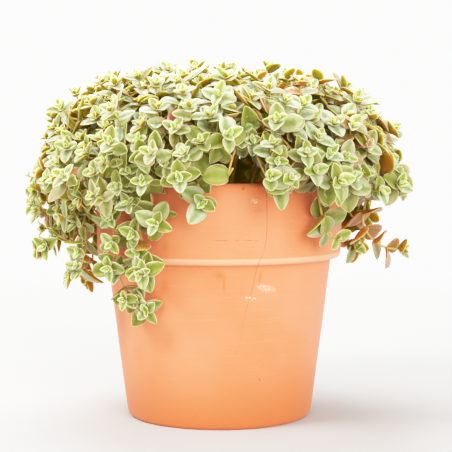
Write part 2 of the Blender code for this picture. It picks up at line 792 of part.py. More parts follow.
def make_stem(stem, surface):
    """One solid of a stem's shoots and their leaves, joined by a union."""
    obj = make_object(stem.name, *shoot_solid(stem.shoots[0]))
    obj.data.materials.append(surface)
    if len(stem.shoots) == 1:
        return
    growth = bpy.data.collections.new(stem.name + "_growth")
    bpy.context.scene.collection.children.link(growth)
    for shoot in stem.shoots[1:]:
        make_object(f"{stem.name}_shoot_{shoot.number}", *shoot_solid(shoot), growth)
    combine(obj, growth, "UNION", "MANIFOLD")
    keep_largest_shell(obj)


def main():
    """Clears the scene and makes the pot, the potting mix and the stems."""
    for obj in list(bpy.data.objects):
        bpy.data.objects.remove(obj)
    clay = material("terracotta", (0.78, 0.36, 0.17), 0.85)
    soil = material("potting_mix", (0.045, 0.028, 0.018), 0.95)
    green = material("crassula_leaf", (0.30, 0.42, 0.20), 0.55)
    stems = grow_stems()
    part_stems(stems)
    place_leaves(stems)
    make_pot(clay)
    make_mix(stems, soil)
    for stem in stems:
        make_stem(stem, green)


main()
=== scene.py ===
"""Looks of a trailing crassula in a clay pot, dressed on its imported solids.

The frame gives the solids: a turned clay pot, the potting mix in it, and one solid for each branching leafy
stem. Each solid is replaced by a finer piece in the same place. The stems run along the same routes, which
are worked out here again by the same seeded rules, and carry fleshy leaves in crossed pairs. Short shoots
that fork off them fill the canopy.
"""

import logging
from dataclasses import dataclass, field
from enum import Enum

import bpy
import numpy as np
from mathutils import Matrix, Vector


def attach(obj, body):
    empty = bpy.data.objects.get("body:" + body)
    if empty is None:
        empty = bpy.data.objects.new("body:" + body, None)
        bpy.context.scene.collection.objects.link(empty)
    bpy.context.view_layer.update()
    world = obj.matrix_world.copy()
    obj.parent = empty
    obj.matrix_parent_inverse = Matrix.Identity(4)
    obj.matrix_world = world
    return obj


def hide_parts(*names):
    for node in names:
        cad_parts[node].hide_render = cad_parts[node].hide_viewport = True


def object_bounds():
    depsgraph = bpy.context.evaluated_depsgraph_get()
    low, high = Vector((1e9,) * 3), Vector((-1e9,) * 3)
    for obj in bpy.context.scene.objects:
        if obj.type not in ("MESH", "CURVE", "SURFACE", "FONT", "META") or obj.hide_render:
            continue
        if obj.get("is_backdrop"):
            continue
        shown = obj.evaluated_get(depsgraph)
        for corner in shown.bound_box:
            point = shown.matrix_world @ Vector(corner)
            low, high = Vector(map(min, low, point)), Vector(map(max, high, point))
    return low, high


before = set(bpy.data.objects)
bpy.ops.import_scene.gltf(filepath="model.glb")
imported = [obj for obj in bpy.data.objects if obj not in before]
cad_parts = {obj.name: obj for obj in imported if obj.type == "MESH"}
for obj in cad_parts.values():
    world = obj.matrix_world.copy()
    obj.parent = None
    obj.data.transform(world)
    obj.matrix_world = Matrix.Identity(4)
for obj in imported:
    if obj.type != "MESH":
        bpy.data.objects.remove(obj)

logging.basicConfig(level=logging.INFO, format="%(message)s")
log = logging.getLogger("potted_crassula")

MM = 0.001
SEED = 18
BODY = "root"

Array = np.ndarray
Colour = tuple[float, float, float, float]
Socket = bpy.types.NodeSocket
SMOOTH = {"interpolation_type": "SMOOTHSTEP"}
COLOURS = {"data_type": "RGBA"}
# What keeps the draws of the noise and of the crumbs apart from those of the shoots.
NOISE_SEED = 7000
CRUMB_SEED = 8100
# How many waves make up the noise, and what brings their mean to about -1 to 1.
WAVES = 7
WAVE_GAIN = 1.8
# How far back from its tip a stem is green.
GREEN_REACH = 40 * MM
# How far inside the solids' box the tested points of a leaf stay, so that its skins stay inside it too.
BOX_MARGIN = 1.6 * MM


def linear(code: str) -> Colour:
    """Turns a colour from sRGB hex to linear light.

    Args:
        code: Six hex digits, two each for red, green and blue.

    Returns:
        Linear red, green and blue, and an alpha of 1.
    """
    shares = [int(code[k : k + 2], 16) / 255 for k in (0, 2, 4)]
    red, green, blue = (s / 12.92 if s <= 0.04045 else ((s + 0.055) / 1.055) ** 2.4 for s in shares)
    return red, green, blue, 1.0


def unit(vectors: Array) -> Array:
    """The vectors at length 1, along the last axis."""
    return vectors / np.maximum(np.linalg.norm(vectors, axis=-1, keepdims=True), 1e-12)


def outwards(points: Array) -> Array:
    """The level direction away from the Z axis at each point."""
    return unit(points * [1, 1, 0])


def squared_to(vectors: Array, directions: Array) -> Array:
    """The vectors without their part along the directions, at length 1, one in each row."""
    return unit(vectors - directions * (vectors * directions).sum(1)[:, None])


def nearest(places: Array, point: Array) -> int:
    """Which of the places, one in each row, lies nearest to a point."""
    return int(np.argmin(np.linalg.norm(places - point, axis=1)))


def draw_for(number: int, purpose: int | str) -> np.random.Generator:
    """Makes a random generator for one shoot and one purpose, so that no draw depends on another.

    Args:
        number: The shoot's number.
        purpose: One of the four purposes that the solids draw for, or the number of one that is only here.

    Returns:
        A seeded generator.
    """
    purposes = ("facing", "growth", "turn", "leaves")
    index = purposes.index(purpose) if isinstance(purpose, str) else len(purposes) + purpose
    return np.random.default_rng([SEED, number, index])


def lengths_along(line: Array) -> Array:
    """How far along a line of straight pieces each of its points lies."""
    return np.concatenate([[0], np.cumsum(np.linalg.norm(np.diff(line, axis=0), axis=1))])


def at_lengths(line: Array, lengths: Array) -> Array:
    """The points at given lengths along a line of straight pieces."""
    along = lengths_along(line)
    return np.stack([np.interp(lengths, along, line[:, k]) for k in range(3)], 1)


def evenly(line: Array, count: int) -> Array:
    """Points at equal steps along a line of straight pieces."""
    return at_lengths(line, np.linspace(0, lengths_along(line)[-1], count))


def through(waypoints: list[Array] | Array, count: int) -> Array:
    """Runs a smooth line through waypoints.

    Each span is the Catmull-Rom cubic of its two ends and their two neighbours.

    Args:
        waypoints: The points that the line passes, in metres.
        count: How many points to return.

    Returns:
        Points at equal steps along the line.
    """
    ways = np.asarray(waypoints, float)
    ends = np.vstack([2 * ways[0] - ways[1], ways, 2 * ways[-1] - ways[-2]])
    t = np.linspace(0, 1, 16, endpoint=False)[:, None]
    spans = []
    for a, b, c, d in zip(ends, ends[1:], ends[2:], ends[3:]):
        spans.append(b + 0.5 * t * (c - a + t * (2 * a - 5 * b + 4 * c - d + t * (3 * (b - c) + d - a))))
    return evenly(np.vstack([*spans, ways[-1:]]), count)


def smooth_noise(points: Array, size: float, number: int) -> Array:
    """Smooth random heights from -1 to 1: a sum of plane waves in seeded directions.

    Args:
        points: Points in metres, one in each row.
        size: The length of the waves in metres.
        number: Which set of waves to use.

    Returns:
        One height for each point.
    """
    draw = np.random.default_rng([SEED, NOISE_SEED + number])
    waves = unit(draw.normal(size=(WAVES, 3))) * draw.uniform(0.7, 1.4, (WAVES, 1)) * 2 * np.pi / size
    return np.sin(points @ waves.T + draw.uniform(0, 2 * np.pi, WAVES)).mean(1) * WAVE_GAIN


class Slot(Enum):
    """The record's material slots."""

    CLAY = "terracotta"
    MIX = "potting_mix"
    LEAF = "crassula_leaf"


@dataclass
class Shell:
    """Closed surfaces as whole arrays. Growth is age, tint, blush and the distance to the edge in mm."""

    points: Array
    corners: Array
    sizes: Array
    uv: Array
    growth: Array
    finish: Array

    @staticmethod
    def joined(shells: list["Shell"]) -> "Shell":
        """Puts several shells into one set of arrays.

        Args:
            shells: The shells to join.

        Returns:
            One shell with all their points and faces.
        """
        starts = np.cumsum([0] + [len(s.points) for s in shells[:-1]])
        return Shell(
            np.vstack([s.points for s in shells]),
            np.concatenate([s.corners + start for s, start in zip(shells, starts)]),
            np.concatenate([s.sizes for s in shells]),
            np.vstack([s.uv for s in shells]),
            np.vstack([s.growth for s in shells]),
            np.concatenate([s.finish for s in shells]),
        )

    def to_object(self, name: str, materials: list[bpy.types.Material]) -> bpy.types.Object:
        """Makes a smooth mesh object of the shell, at the origin.

        Args:
            name: The piece's name.
            materials: The piece's finishes, in the order that the faces count them.

        Returns:
            The new object.
        """
        mesh = bpy.data.meshes.new(name)
        mesh.vertices.add(len(self.points))
        mesh.vertices.foreach_set("co", self.points.astype(np.float32).ravel())
        mesh.loops.add(len(self.corners))
        mesh.loops.foreach_set("vertex_index", self.corners.astype(np.int32))
        mesh.polygons.add(len(self.sizes))
        starts = np.concatenate([[0], np.cumsum(self.sizes)[:-1]])
        mesh.polygons.foreach_set("loop_start", starts.astype(np.int32))
        mesh.update(calc_edges=True)
        mesh.polygons.foreach_set("material_index", self.finish.astype(np.int32))
        mesh.uv_layers.new(name="surface")
        mesh.uv_layers["surface"].data.foreach_set("uv", self.uv.astype(np.float32).ravel())
        values = mesh.attributes.new("growth", "FLOAT_COLOR", "POINT")
        values.data.foreach_set("color", self.growth.astype(np.float32).ravel())
        for material in materials:
            mesh.materials.append(material)
        mesh.shade_smooth()
        obj = bpy.data.objects.new(name, mesh)
        bpy.context.scene.collection.objects.link(obj)
        return obj


def turned(profile: Array, segments: int, closed: bool) -> Shell:
    """Turns a profile about the Z axis.

    Point (i, j) is the profile's point i at angle 2 pi j / segments, at (r cos, r sin, z). The last column
    meets the first, and a closed profile's last row meets its first. An open profile starts and ends on the
    axis, where all of a row falls on one point.

    Args:
        profile: Points of radius and height, up the outside and back down the inside.
        segments: How many columns there are round the axis.
        closed: Whether the profile is a loop off the axis.

    Returns:
        The turned shell, with the angle and the distance along the profile in its uv.
    """
    radius, height = profile.T
    angle = np.arange(segments) * 2 * np.pi / segments
    grid = np.stack(
        [
            radius[:, None] * np.cos(angle),
            radius[:, None] * np.sin(angle),
            np.repeat(height[:, None], segments, 1),
        ],
        2,
    )
    rows, count = len(profile), segments
    index = np.arange(rows * count).reshape(rows, count)
    if not closed:
        index[0], index[-1] = index[0, 0], index[-1, 0]
    after = np.vstack([index[1:], index[:1]]) if closed else index[1:]
    here = index if closed else index[:-1]
    quads = np.stack([here, np.roll(here, -1, 1), np.roll(after, -1, 1), after], 2)
    around = np.arange(count + 1) / count
    along = lengths_along(np.column_stack([profile, np.zeros(rows)]))
    along = np.append(along, along[-1] + np.linalg.norm(profile[0] - profile[-1])) if closed else along
    u, v = np.meshgrid(around, along)
    uv = np.stack([u, v], 2)
    spread = np.stack([uv[:-1, :-1], uv[:-1, 1:], uv[1:, 1:], uv[1:, :-1]], 2)
    return compact(grid.reshape(-1, 3), quads.reshape(-1, 4), spread.reshape(-1, 4, 2))


def compact(points: Array, quads: Array, uv: Array) -> Shell:
    """Makes a shell of quads, of which some are triangles with one corner twice, and drops unused points.

    Args:
        points: The places of the points.
        quads: Four points for each face.
        uv: The place of each face's corners on the surface.

    Returns:
        The shell.
    """
    keep = quads != np.roll(quads, 1, 1)
    used, corners = np.unique(quads[keep], return_inverse=True)
    growth, finish = np.zeros((len(used), 4)), np.zeros(len(quads), int)
    return Shell(points[used], corners.ravel(), keep.sum(1), uv[keep], growth, finish)


@dataclass
class Weaver:
    """A material's node tree while it is made."""

    tree: bpy.types.NodeTree

    @staticmethod
    def material(name: str) -> tuple[bpy.types.Material, "Weaver"]:
        """Makes an empty material.

        Args:
            name: The material's name.

        Returns:
            The material and the maker of its nodes.
        """
        made = bpy.data.materials.new(name)
        made.use_nodes = True
        made.node_tree.nodes.clear()
        return made, Weaver(made.node_tree)

    def add(
        self, kind: str, inputs: dict | list | None = None, out: int | str = 0, **settings: object
    ) -> Socket | None:
        """Adds one node with its settings and links.

        Args:
            kind: The node's type, without the prefix that all shader nodes share.
            inputs: For each input, by name or number or in order, a value or the output that feeds it.
            out: Which of its outputs to return.
            **settings: The node's own properties.

        Returns:
            The chosen output, if the node has any.
        """
        node = self.tree.nodes.new("ShaderNode" + kind)
        for name, value in settings.items():
            setattr(node, name, value)
        given = inputs or {}
        for name, value in given.items() if isinstance(given, dict) else enumerate(given):
            if isinstance(value, Socket):
                self.tree.links.new(value, node.inputs[name])
            else:
                node.inputs[name].default_value = value
        return node.outputs[out] if len(node.outputs) else None


@dataclass(frozen=True)
class Mark:
    """A mark on the front of the pot, in mm and degrees. Gaps of the size broken cut it up."""

    place: tuple[float, float]
    reach: tuple[float, float]
    turn: float
    colour: str
    strength: float
    broken: float = 0.0


@dataclass(frozen=True)
class Terracotta:
    """Fired unglazed earthenware, turned on a wheel or jigger: matt and porous, with faint turning lines.

    The eye sees a warm orange with soft clouds from the firing, fine pale grains, a deeper orange towards
    the foot, a hairline crack down the front and some scuffs. The bead under the rim is painted paler, a
    painted highlight for the light that the floor throws up onto it, and a deeper orange along the lip is
    painted shade under the leaves. Fine dust pales it where it turns from the eye.
    """

    lit: str = "E98562"
    warm: str = "E57B55"
    pale: str = "EC9E7D"
    # A deeper orange, used towards the foot and as painted shade along the lip under the leaves.
    deep_orange: str = "D0663C"
    # Painted highlight: the bead under the rim is drawn paler for the light that the white floor throws up
    # onto it.
    bead_bounce_light: str = "F1AA86"
    crack: str = "8F4A2A"
    roughness: float = 0.82
    ior: float = 1.5
    dust: float = 0.17
    dust_roughness: float = 0.5
    cloud: float = 55 * MM
    line: float = 1.6 * MM
    line_stretch: float = 0.06
    grain: float = 0.9 * MM
    # How far up from the foot the colour deepens to a darker orange.
    foot_tone_reach: float = 50 * MM
    # How far down from the top the painted shade along the lip reaches.
    lip_shade_reach: float = 9 * MM
    bead_reach: tuple[float, float] = (108.2 * MM, 113.0 * MM)
    bead_fade: float = 0.8 * MM
    crack_reach: float = 0.25 * MM
    crack_strength: float = 0.55
    crack_breaks: float = 7 * MM
    crack_fade: float = 80 * MM
    front: tuple[float, float] = (-2 * MM, -12 * MM)
    relief: float = 0.12 * MM
    marks: tuple[Mark, ...] = (
        Mark((22, 149), (4, 2), 6, "EFC8AC", 0.75, 1.0),
        Mark((25, 143), (6, 2), 0, "CC6A36", 0.45),
        Mark((15, 157), (1.3, 1.3), 0, "8E3A1C", 0.8),
        Mark((-34, 120), (4, 5), 0, "CC6630", 0.4),
        Mark((-35, 94), (5, 8), 0, "CC6630", 0.5),
        Mark((0, 102), (6, 4), 18, "CC6630", 0.6),
        Mark((3, 96), (1.2, 8), 0, "CC6630", 0.6),
        Mark((20, 87), (4.5, 1), 6, "FFF2E6", 0.95, 1.2),
        Mark((30, 93), (8, 3), 14, "F1CCB0", 0.7, 1.0),
        Mark((26, 100), (2, 6), 8, "CC6630", 0.6),
        Mark((12, 124.5), (24, 0.3), 0, "96471F", 0.75, 1.9),
        Mark((26, 33), (0.5, 2), -24, "70341A", 0.8),
        Mark((-15, 10), (0.6, 2), 0, "B05A2A", 0.5),
    )

    def material(self, crack: Array, top: float) -> bpy.types.Material:
        """Makes the material.

        Args:
            crack: Where the hairline crack passes on the front, as rows of how far across and how high.
            top: The height of the pot, over which the crack's curve is laid.

        Returns:
            The material.
        """
        made, w = Weaver.material("fired_terracotta")
        place = w.add("TexCoord", out="Object")
        x, y, z = w.add("SeparateXYZ", [place]).node.outputs
        cloud = w.add("TexNoise", {"Vector": place, "Scale": 1 / self.cloud, "Detail": 3.0})
        flat = w.add("Mapping", {"Vector": place, "Scale": (self.line_stretch, self.line_stretch, 1.0)})
        lines = w.add("TexNoise", {"Vector": flat, "Scale": 1 / self.line, "Detail": 2.0})
        grain = w.add("TexNoise", {"Vector": place, "Scale": 1 / self.grain, "Detail": 2.0})
        low, high = self.bead_reach
        bead = w.add("MapRange", [z, low, low + self.bead_fade], **SMOOTH)
        above = w.add("MapRange", [z, high, high - self.bead_fade, 0.0, 0.75], **SMOOTH)
        front = w.add("MapRange", [y, *self.front], **SMOOTH)
        line = self.crack_share(w, place, x, z, crack, top)
        line = w.add("Math", [line, front], operation="MULTIPLY")
        layers = [
            (w.add("MapRange", [cloud, 0.35, 0.68], **SMOOTH), self.warm),
            (w.add("MapRange", [lines, 0.52, 0.8, 0.0, 0.14], **SMOOTH), self.pale),
            (w.add("MapRange", [grain, 0.62, 0.74, 0.0, 0.35], **SMOOTH), self.pale),
            # Darker, deeper orange towards the foot.
            (w.add("MapRange", [z, self.foot_tone_reach, 0.0, 0.0, 0.95], **SMOOTH), self.deep_orange),
            # Painted shade: a deeper orange along the lip, where the leaves hanging over the rim shade it.
            (w.add("MapRange", [z, top - self.lip_shade_reach, top, 0.0, 0.5], **SMOOTH), self.deep_orange),
            # Painted highlight on the bead under the rim, for the light thrown up from the floor.
            (w.add("Math", [bead, above], operation="MULTIPLY"), self.bead_bounce_light),
        ]
        for mark in self.marks:
            share = self.mark_share(w, place, mark)
            layers.append((w.add("Math", [share, front], operation="MULTIPLY"), mark.colour))
        colour = linear(self.lit)
        for share, tone in [*layers, (line, self.crack)]:
            colour = w.add("Mix", {0: share, 6: colour, 7: linear(tone)}, 2, **COLOURS)
        height = w.add("Math", [lines, 0.35, grain], operation="MULTIPLY_ADD")
        height = w.add("Math", [height, line], operation="SUBTRACT")
        bump = w.add("Bump", {"Height": height, "Strength": 0.35, "Distance": self.relief})
        rough = w.add("MapRange", [grain, 0.3, 0.7, self.roughness - 0.06, self.roughness + 0.06], **SMOOTH)
        shader = {
            "Base Color": colour,
            "Roughness": rough,
            "IOR": self.ior,
            "Normal": bump,
            "Sheen Weight": self.dust,
            "Sheen Roughness": self.dust_roughness,
        }
        w.add("OutputMaterial", [w.add("BsdfPrincipled", shader)])
        return made

    @staticmethod
    def mark_share(w: Weaver, place: Socket, mark: Mark) -> Socket:
        """How much of one mark shows at a place.

        The mark is an ellipse: in its own turned and stretched frame, the distance from its middle goes from
        0 to 1. A broken mark is cut up by noise.

        Args:
            w: The maker of the material's nodes.
            place: The place on the piece.
            mark: The mark.

        Returns:
            The share, from 0 to the mark's strength.
        """
        across, up = mark.place
        middle = (across * MM, 0.0, up * MM)
        size = (mark.reach[0] * MM, 1.0, mark.reach[1] * MM)
        turn = (0, np.radians(mark.turn), 0)
        inputs = {"Vector": place, "Location": middle, "Rotation": turn, "Scale": size}
        local = w.add("Mapping", inputs, vector_type="TEXTURE")
        flat = w.add("VectorMath", [local, (1.0, 0.0, 1.0)], operation="MULTIPLY")
        distance = w.add("VectorMath", [flat], "Value", operation="LENGTH")
        core = 0.35 if mark.broken else 0.0
        share = w.add("MapRange", [distance, 1.0, core, 0.0, mark.strength], **SMOOTH)
        if not mark.broken:
            return share
        noise = w.add("TexNoise", {"Vector": place, "Scale": 1 / (mark.broken * MM), "Detail": 2.0})
        gaps = w.add("MapRange", [noise, 0.46, 0.56], **SMOOTH)
        return w.add("Math", [share, gaps], operation="MULTIPLY")

    def crack_share(self, w: Weaver, place: Socket, x: Socket, z: Socket, crack: Array, top: float) -> Socket:
        """How much of the hairline crack shows: its line is a curve of how far across it is at each height.

        Args:
            w: The maker of the material's nodes.
            place: The place on the piece.
            x: How far across the place is.
            z: How high the place is.
            crack: Where the crack passes, as rows of how far across and how high.
            top: The height of the pot.

        Returns:
            The share, up to the crack's strength on its line and 0 off it. It fades towards the foot.
        """
        level = w.add("Math", [z, top], operation="DIVIDE")
        across = w.add("FloatCurve", {"Value": level})
        curve = across.node.mapping
        points = curve.curves[0].points
        spread = np.abs(crack[:, 0]).max() * 2
        for side, up in crack[1:-1][::-1]:
            points.new(up / top, 0.5 + side / spread)
        for end, (side, up) in zip((points[0], points[-1]), crack[[-1, 0]]):
            end.location = (up / top, 0.5 + side / spread)
        curve.update()
        centred = w.add("Math", [across, 0.5], operation="SUBTRACT")
        line = w.add("Math", [centred, float(spread)], operation="MULTIPLY")
        beside = w.add("Math", [x, line], operation="SUBTRACT")
        off = w.add("Math", [beside], operation="ABSOLUTE")
        fade = (self.crack_reach * 1.6, self.crack_reach * 0.4, 0.0, self.crack_strength)
        share = w.add("MapRange", [off, *fade], **SMOOTH)
        foot = float(crack[-1, 1])
        breaks = w.add("TexNoise", {"Vector": place, "Scale": 1 / self.crack_breaks})
        parts = (
            w.add("MapRange", [z, foot, foot + self.crack_fade, 0.25, 1.0], **SMOOTH),
            w.add("Math", [z, foot], operation="GREATER_THAN"),
            w.add("MapRange", [breaks, 0.3, 0.6, 0.35, 1.0], **SMOOTH),
        )
        for part in parts:
            share = w.add("Math", [share, part], operation="MULTIPLY")
        return share


@dataclass(frozen=True)
class PeatCrumb:
    """Peat-based potting mix, a little moist: dark crumbs that hardly shine, with paler fibres."""

    dark: str = "2A1D13"
    brown: str = "4E3824"
    fibre: str = "8A6A46"
    roughness: tuple[float, float] = (0.85, 1.0)
    crumb: float = 2.5 * MM
    relief: float = 0.8 * MM

    def material(self) -> bpy.types.Material:
        """Makes the material.

        Returns:
            The material.
        """
        made, w = Weaver.material("peat_potting_mix")
        place = w.add("TexCoord", out="Object")
        crumb = w.add("TexNoise", {"Vector": place, "Scale": 1 / self.crumb, "Detail": 5.0})
        cells = w.add("TexVoronoi", {"Vector": place, "Scale": 1 / self.crumb}, "Distance")
        colour = linear(self.dark)
        brown = w.add("MapRange", [crumb, 0.35, 0.65], **SMOOTH)
        fibre = w.add("MapRange", [crumb, 0.66, 0.74, 0.0, 0.8], **SMOOTH)
        for share, tone in ((brown, self.brown), (fibre, self.fibre)):
            colour = w.add("Mix", {0: share, 6: colour, 7: linear(tone)}, 2, **COLOURS)
        bump = w.add("Bump", {"Height": cells, "Strength": 0.8, "Distance": self.relief})
        rough = w.add("MapRange", [crumb, 0.3, 0.7, *self.roughness], **SMOOTH)
        shader = {"Base Color": colour, "Roughness": rough, "Normal": bump}
        w.add("OutputMaterial", [w.add("BsdfPrincipled", shader)])
        return made


@dataclass(frozen=True)
class Perlite:
    """Expanded perlite, the white grains in potting mix: chalky and full of small pits."""

    white: str = "D9D4C8"
    stained: str = "A89B86"
    roughness: tuple[float, float] = (0.8, 0.95)
    pit: float = 0.7 * MM
    relief: float = 0.3 * MM

    def material(self) -> bpy.types.Material:
        """Makes the material.

        Returns:
            The material.
        """
        made, w = Weaver.material("expanded_perlite")
        place = w.add("TexCoord", out="Object")
        pits = w.add("TexNoise", {"Vector": place, "Scale": 1 / self.pit, "Detail": 3.0})
        share = w.add("MapRange", [pits, 0.4, 0.65], **SMOOTH)
        colour = w.add("Mix", {0: share, 6: linear(self.white), 7: linear(self.stained)}, 2, **COLOURS)
        bump = w.add("Bump", {"Height": pits, "Strength": 0.7, "Distance": self.relief})
        rough = w.add("MapRange", [pits, 0.3, 0.7, *self.roughness], **SMOOTH)
        shader = {"Base Color": colour, "Roughness": rough, "Normal": bump}
        w.add("OutputMaterial", [w.add("BsdfPrincipled", shader)])
        return made


@dataclass(frozen=True)
class CrassulaLeaf:
    """The skin of a fleshy variegated leaf: a waxy cuticle with a pale bloom over green, translucent flesh.

    The eye sees a bright green middle on young leaves and an olive to grey-green one on old leaves, a cream
    margin with a fine rosy line on its edge, and olive to orange-brown undersides. Light from behind glows
    through it, and light that grazes it shows the bloom as a whitish sheen.
    """

    young: str = "84B02A"
    frost: str = "DDE3B0"
    old: str = "737C2C"
    glaucous: str = "889A68"
    bloom: str = "C2CEB4"
    dusk: str = "878A4A"
    mauve: str = "A8957A"
    margin: str = "DFDEA8"
    edge: str = "CF9464"
    olive: str = "8C7A14"
    brown: str = "A4701C"
    russet: str = "B66C1C"
    rose: str = "B4747C"
    wine: str = "A4623A"
    roughness: tuple[float, float] = (0.34, 0.5)
    ior: float = 1.40
    margin_mm: float = 0.95
    mottle: float = 3.2 * MM
    pores: float = 0.8 * MM
    relief: float = 0.1 * MM
    second_draw: float = 7.3
    flesh_depth: float = 2.4 * MM
    flesh_share: float = 0.6
    sheen: float = 0.18
    sheen_roughness: float = 0.45
    # The rosy line: how far from the edge it begins and is full, in mm, and its strength.
    edge_line: tuple[float, float, float] = (0.4, 0.05, 0.8)

    def material(self) -> bpy.types.Material:
        """Makes the material.

        Returns:
            The material.
        """
        made, w = Weaver.material("variegated_crassula_leaf")
        place = w.add("TexCoord", out="Object")
        u = w.add("SeparateXYZ", [w.add("UVMap", uv_map="surface")])
        growth = w.add("Attribute", out="Color", attribute_name="growth")
        age, tint, blush = w.add("SeparateColor", [growth]).node.outputs
        rim = growth.node.outputs["Alpha"]
        many = w.add("Math", [tint, self.second_draw], operation="MULTIPLY")
        other = w.add("Math", [many], operation="FRACT")
        mottle = w.add("TexNoise", {"Vector": place, "Scale": 1 / self.mottle, "Detail": 3.0})
        pores = w.add("TexNoise", {"Vector": place, "Scale": 1 / self.pores, "Detail": 2.0})
        half = w.add("Math", [u, 2.0], operation="MODULO")
        half = w.add("Math", [half, 2.0, -1.0], operation="MULTIPLY_ADD")
        across = w.add("Math", [half], operation="ABSOLUTE")
        upper = self.upper_face(w, (age, tint, other, blush, rim), across, mottle)
        under = self.under_face(w, (tint, other, blush, rim), mottle)
        below = w.add("Math", [u, 1.5], operation="GREATER_THAN")
        colour = w.add("Mix", {0: below, 6: upper, 7: under}, 2, **COLOURS)
        bump = w.add("Bump", {"Height": pores, "Strength": 0.25, "Distance": self.relief})
        shader = {
            "Base Color": colour,
            "Roughness": w.add("MapRange", [mottle, 0.3, 0.7, *self.roughness], **SMOOTH),
            "IOR": self.ior,
            "Normal": bump,
            "Subsurface Weight": self.flesh_share,
            "Subsurface Radius": (0.9, 1.0, 0.25),
            "Subsurface Scale": self.flesh_depth,
            "Sheen Weight": self.sheen,
            "Sheen Roughness": self.sheen_roughness,
        }
        w.add("OutputMaterial", [w.add("BsdfPrincipled", shader)])
        return made

    def upper_face(self, w: Weaver, growth: tuple[Socket, ...], across: Socket, mottle: Socket) -> Socket:
        """The colour of the upper face, from its middle out to its edge.

        Args:
            w: The maker of the material's nodes.
            growth: The leaf's age, how waxy and pale it is (partly painted light, more on leaves that face
                up),
            a draw, its blush, and the distance to its edge in mm.
            across: How far a place lies from the midrib, from 0 to 1 at the edge.
            mottle: Noise that breaks up the zones.

        Returns:
            The colour.
        """
        age, tint, other, blush, rim = growth
        grown = w.add("MapRange", [age, 0.05, 0.7], **SMOOTH)
        # Painted light in part: the tint is higher on leaves that face up, so they are drawn waxier and
        # paler.
        waxy = w.add("MapRange", [tint, 0.25, 0.85], **SMOOTH)
        middle = w.add("Mix", {0: waxy, 6: linear(self.old), 7: linear(self.glaucous)}, 2, **COLOURS)
        middle = w.add("Mix", {0: grown, 6: linear(self.young), 7: middle}, 2, **COLOURS)
        pale = w.add("Mix", {0: waxy, 6: linear(self.dusk), 7: linear(self.bloom)}, 2, **COLOURS)
        share = w.add("MapRange", [blush, 0.1, 0.6, 0.0, 0.85], **SMOOTH)
        pale = w.add("Mix", {0: share, 6: pale, 7: linear(self.mauve)}, 2, **COLOURS)
        pale = w.add("Mix", {0: grown, 6: linear(self.frost), 7: pale}, 2, **COLOURS)
        drift = w.add("Math", [mottle, 0.9, -0.45], operation="MULTIPLY_ADD")
        wavy = w.add("Math", [across, drift], operation="ADD")
        zone = w.add("MapRange", [wavy, 0.1, 0.6], **SMOOTH)
        reach = w.add("MapRange", [age, -0.4, 0.6, 0.35, 0.95], **SMOOTH)
        zone = w.add("Math", [zone, reach], operation="MULTIPLY")
        width = w.add("MapRange", [age, 0.0, 1.0, self.margin_mm, self.margin_mm * 0.6], **SMOOTH)
        drift = w.add("Math", [mottle, 0.8, -0.4], operation="MULTIPLY_ADD")
        ragged = w.add("Math", [rim, drift], operation="ADD")
        inside = w.add("Math", [ragged, width], operation="DIVIDE")
        begins, full, strength = self.edge_line
        line = w.add("MapRange", [rim, begins, full, 0.0, strength], **SMOOTH)
        late = w.add("MapRange", [age, 0.2, 0.8], **SMOOTH)
        rare = w.add("MapRange", [other, 0.80, 0.86, 0.0, 0.8], **SMOOTH)
        flush = w.add("MapRange", [blush, 0.6, 0.85], **SMOOTH)
        layers = (
            (zone, pale),
            (w.add("MapRange", [inside, 1.2, 0.45, 0.0, 0.95], **SMOOTH), linear(self.margin)),
            (w.add("Math", [line, late], operation="MULTIPLY"), linear(self.edge)),
            (w.add("Math", [flush, 0.75], operation="MULTIPLY"), linear(self.wine)),
            (w.add("Math", [flush, rare], operation="MULTIPLY"), linear(self.rose)),
        )
        for share, tone in layers:
            middle = w.add("Mix", {0: share, 6: middle, 7: tone}, 2, **COLOURS)
        return middle

    def under_face(self, w: Weaver, growth: tuple[Socket, ...], mottle: Socket) -> Socket:
        """The colour of the underside: olive to brown by two draws, orange-brown where it blushes.

        Args:
            w: The maker of the material's nodes.
            growth: The leaf's two draws, its blush, and the distance to its edge in mm.
            mottle: Noise that breaks up the blush.

        Returns:
            The colour.
        """
        tint, other, blush, rim = growth
        patchy = w.add("MapRange", [mottle, 0.3, 0.7, 0.6, 1.0], **SMOOTH)
        warm = w.add("MapRange", [tint, 0.8, 1.0, 0.0, 0.8], **SMOOTH)
        red = w.add("MapRange", [blush, 0.25, 0.8], **SMOOTH)
        layers = (
            (w.add("MapRange", [other, 0.55, 1.0], **SMOOTH), self.brown),
            (w.add("Math", [warm, patchy], operation="MULTIPLY"), self.russet),
            (w.add("Math", [red, patchy], operation="MULTIPLY"), self.russet),
            (w.add("MapRange", [rim, 0.8, 0.2, 0.0, 0.6], **SMOOTH), self.margin),
        )
        colour = linear(self.olive)
        for share, tone in layers:
            colour = w.add("Mix", {0: share, 6: colour, 7: linear(tone)}, 2, **COLOURS)
        return colour


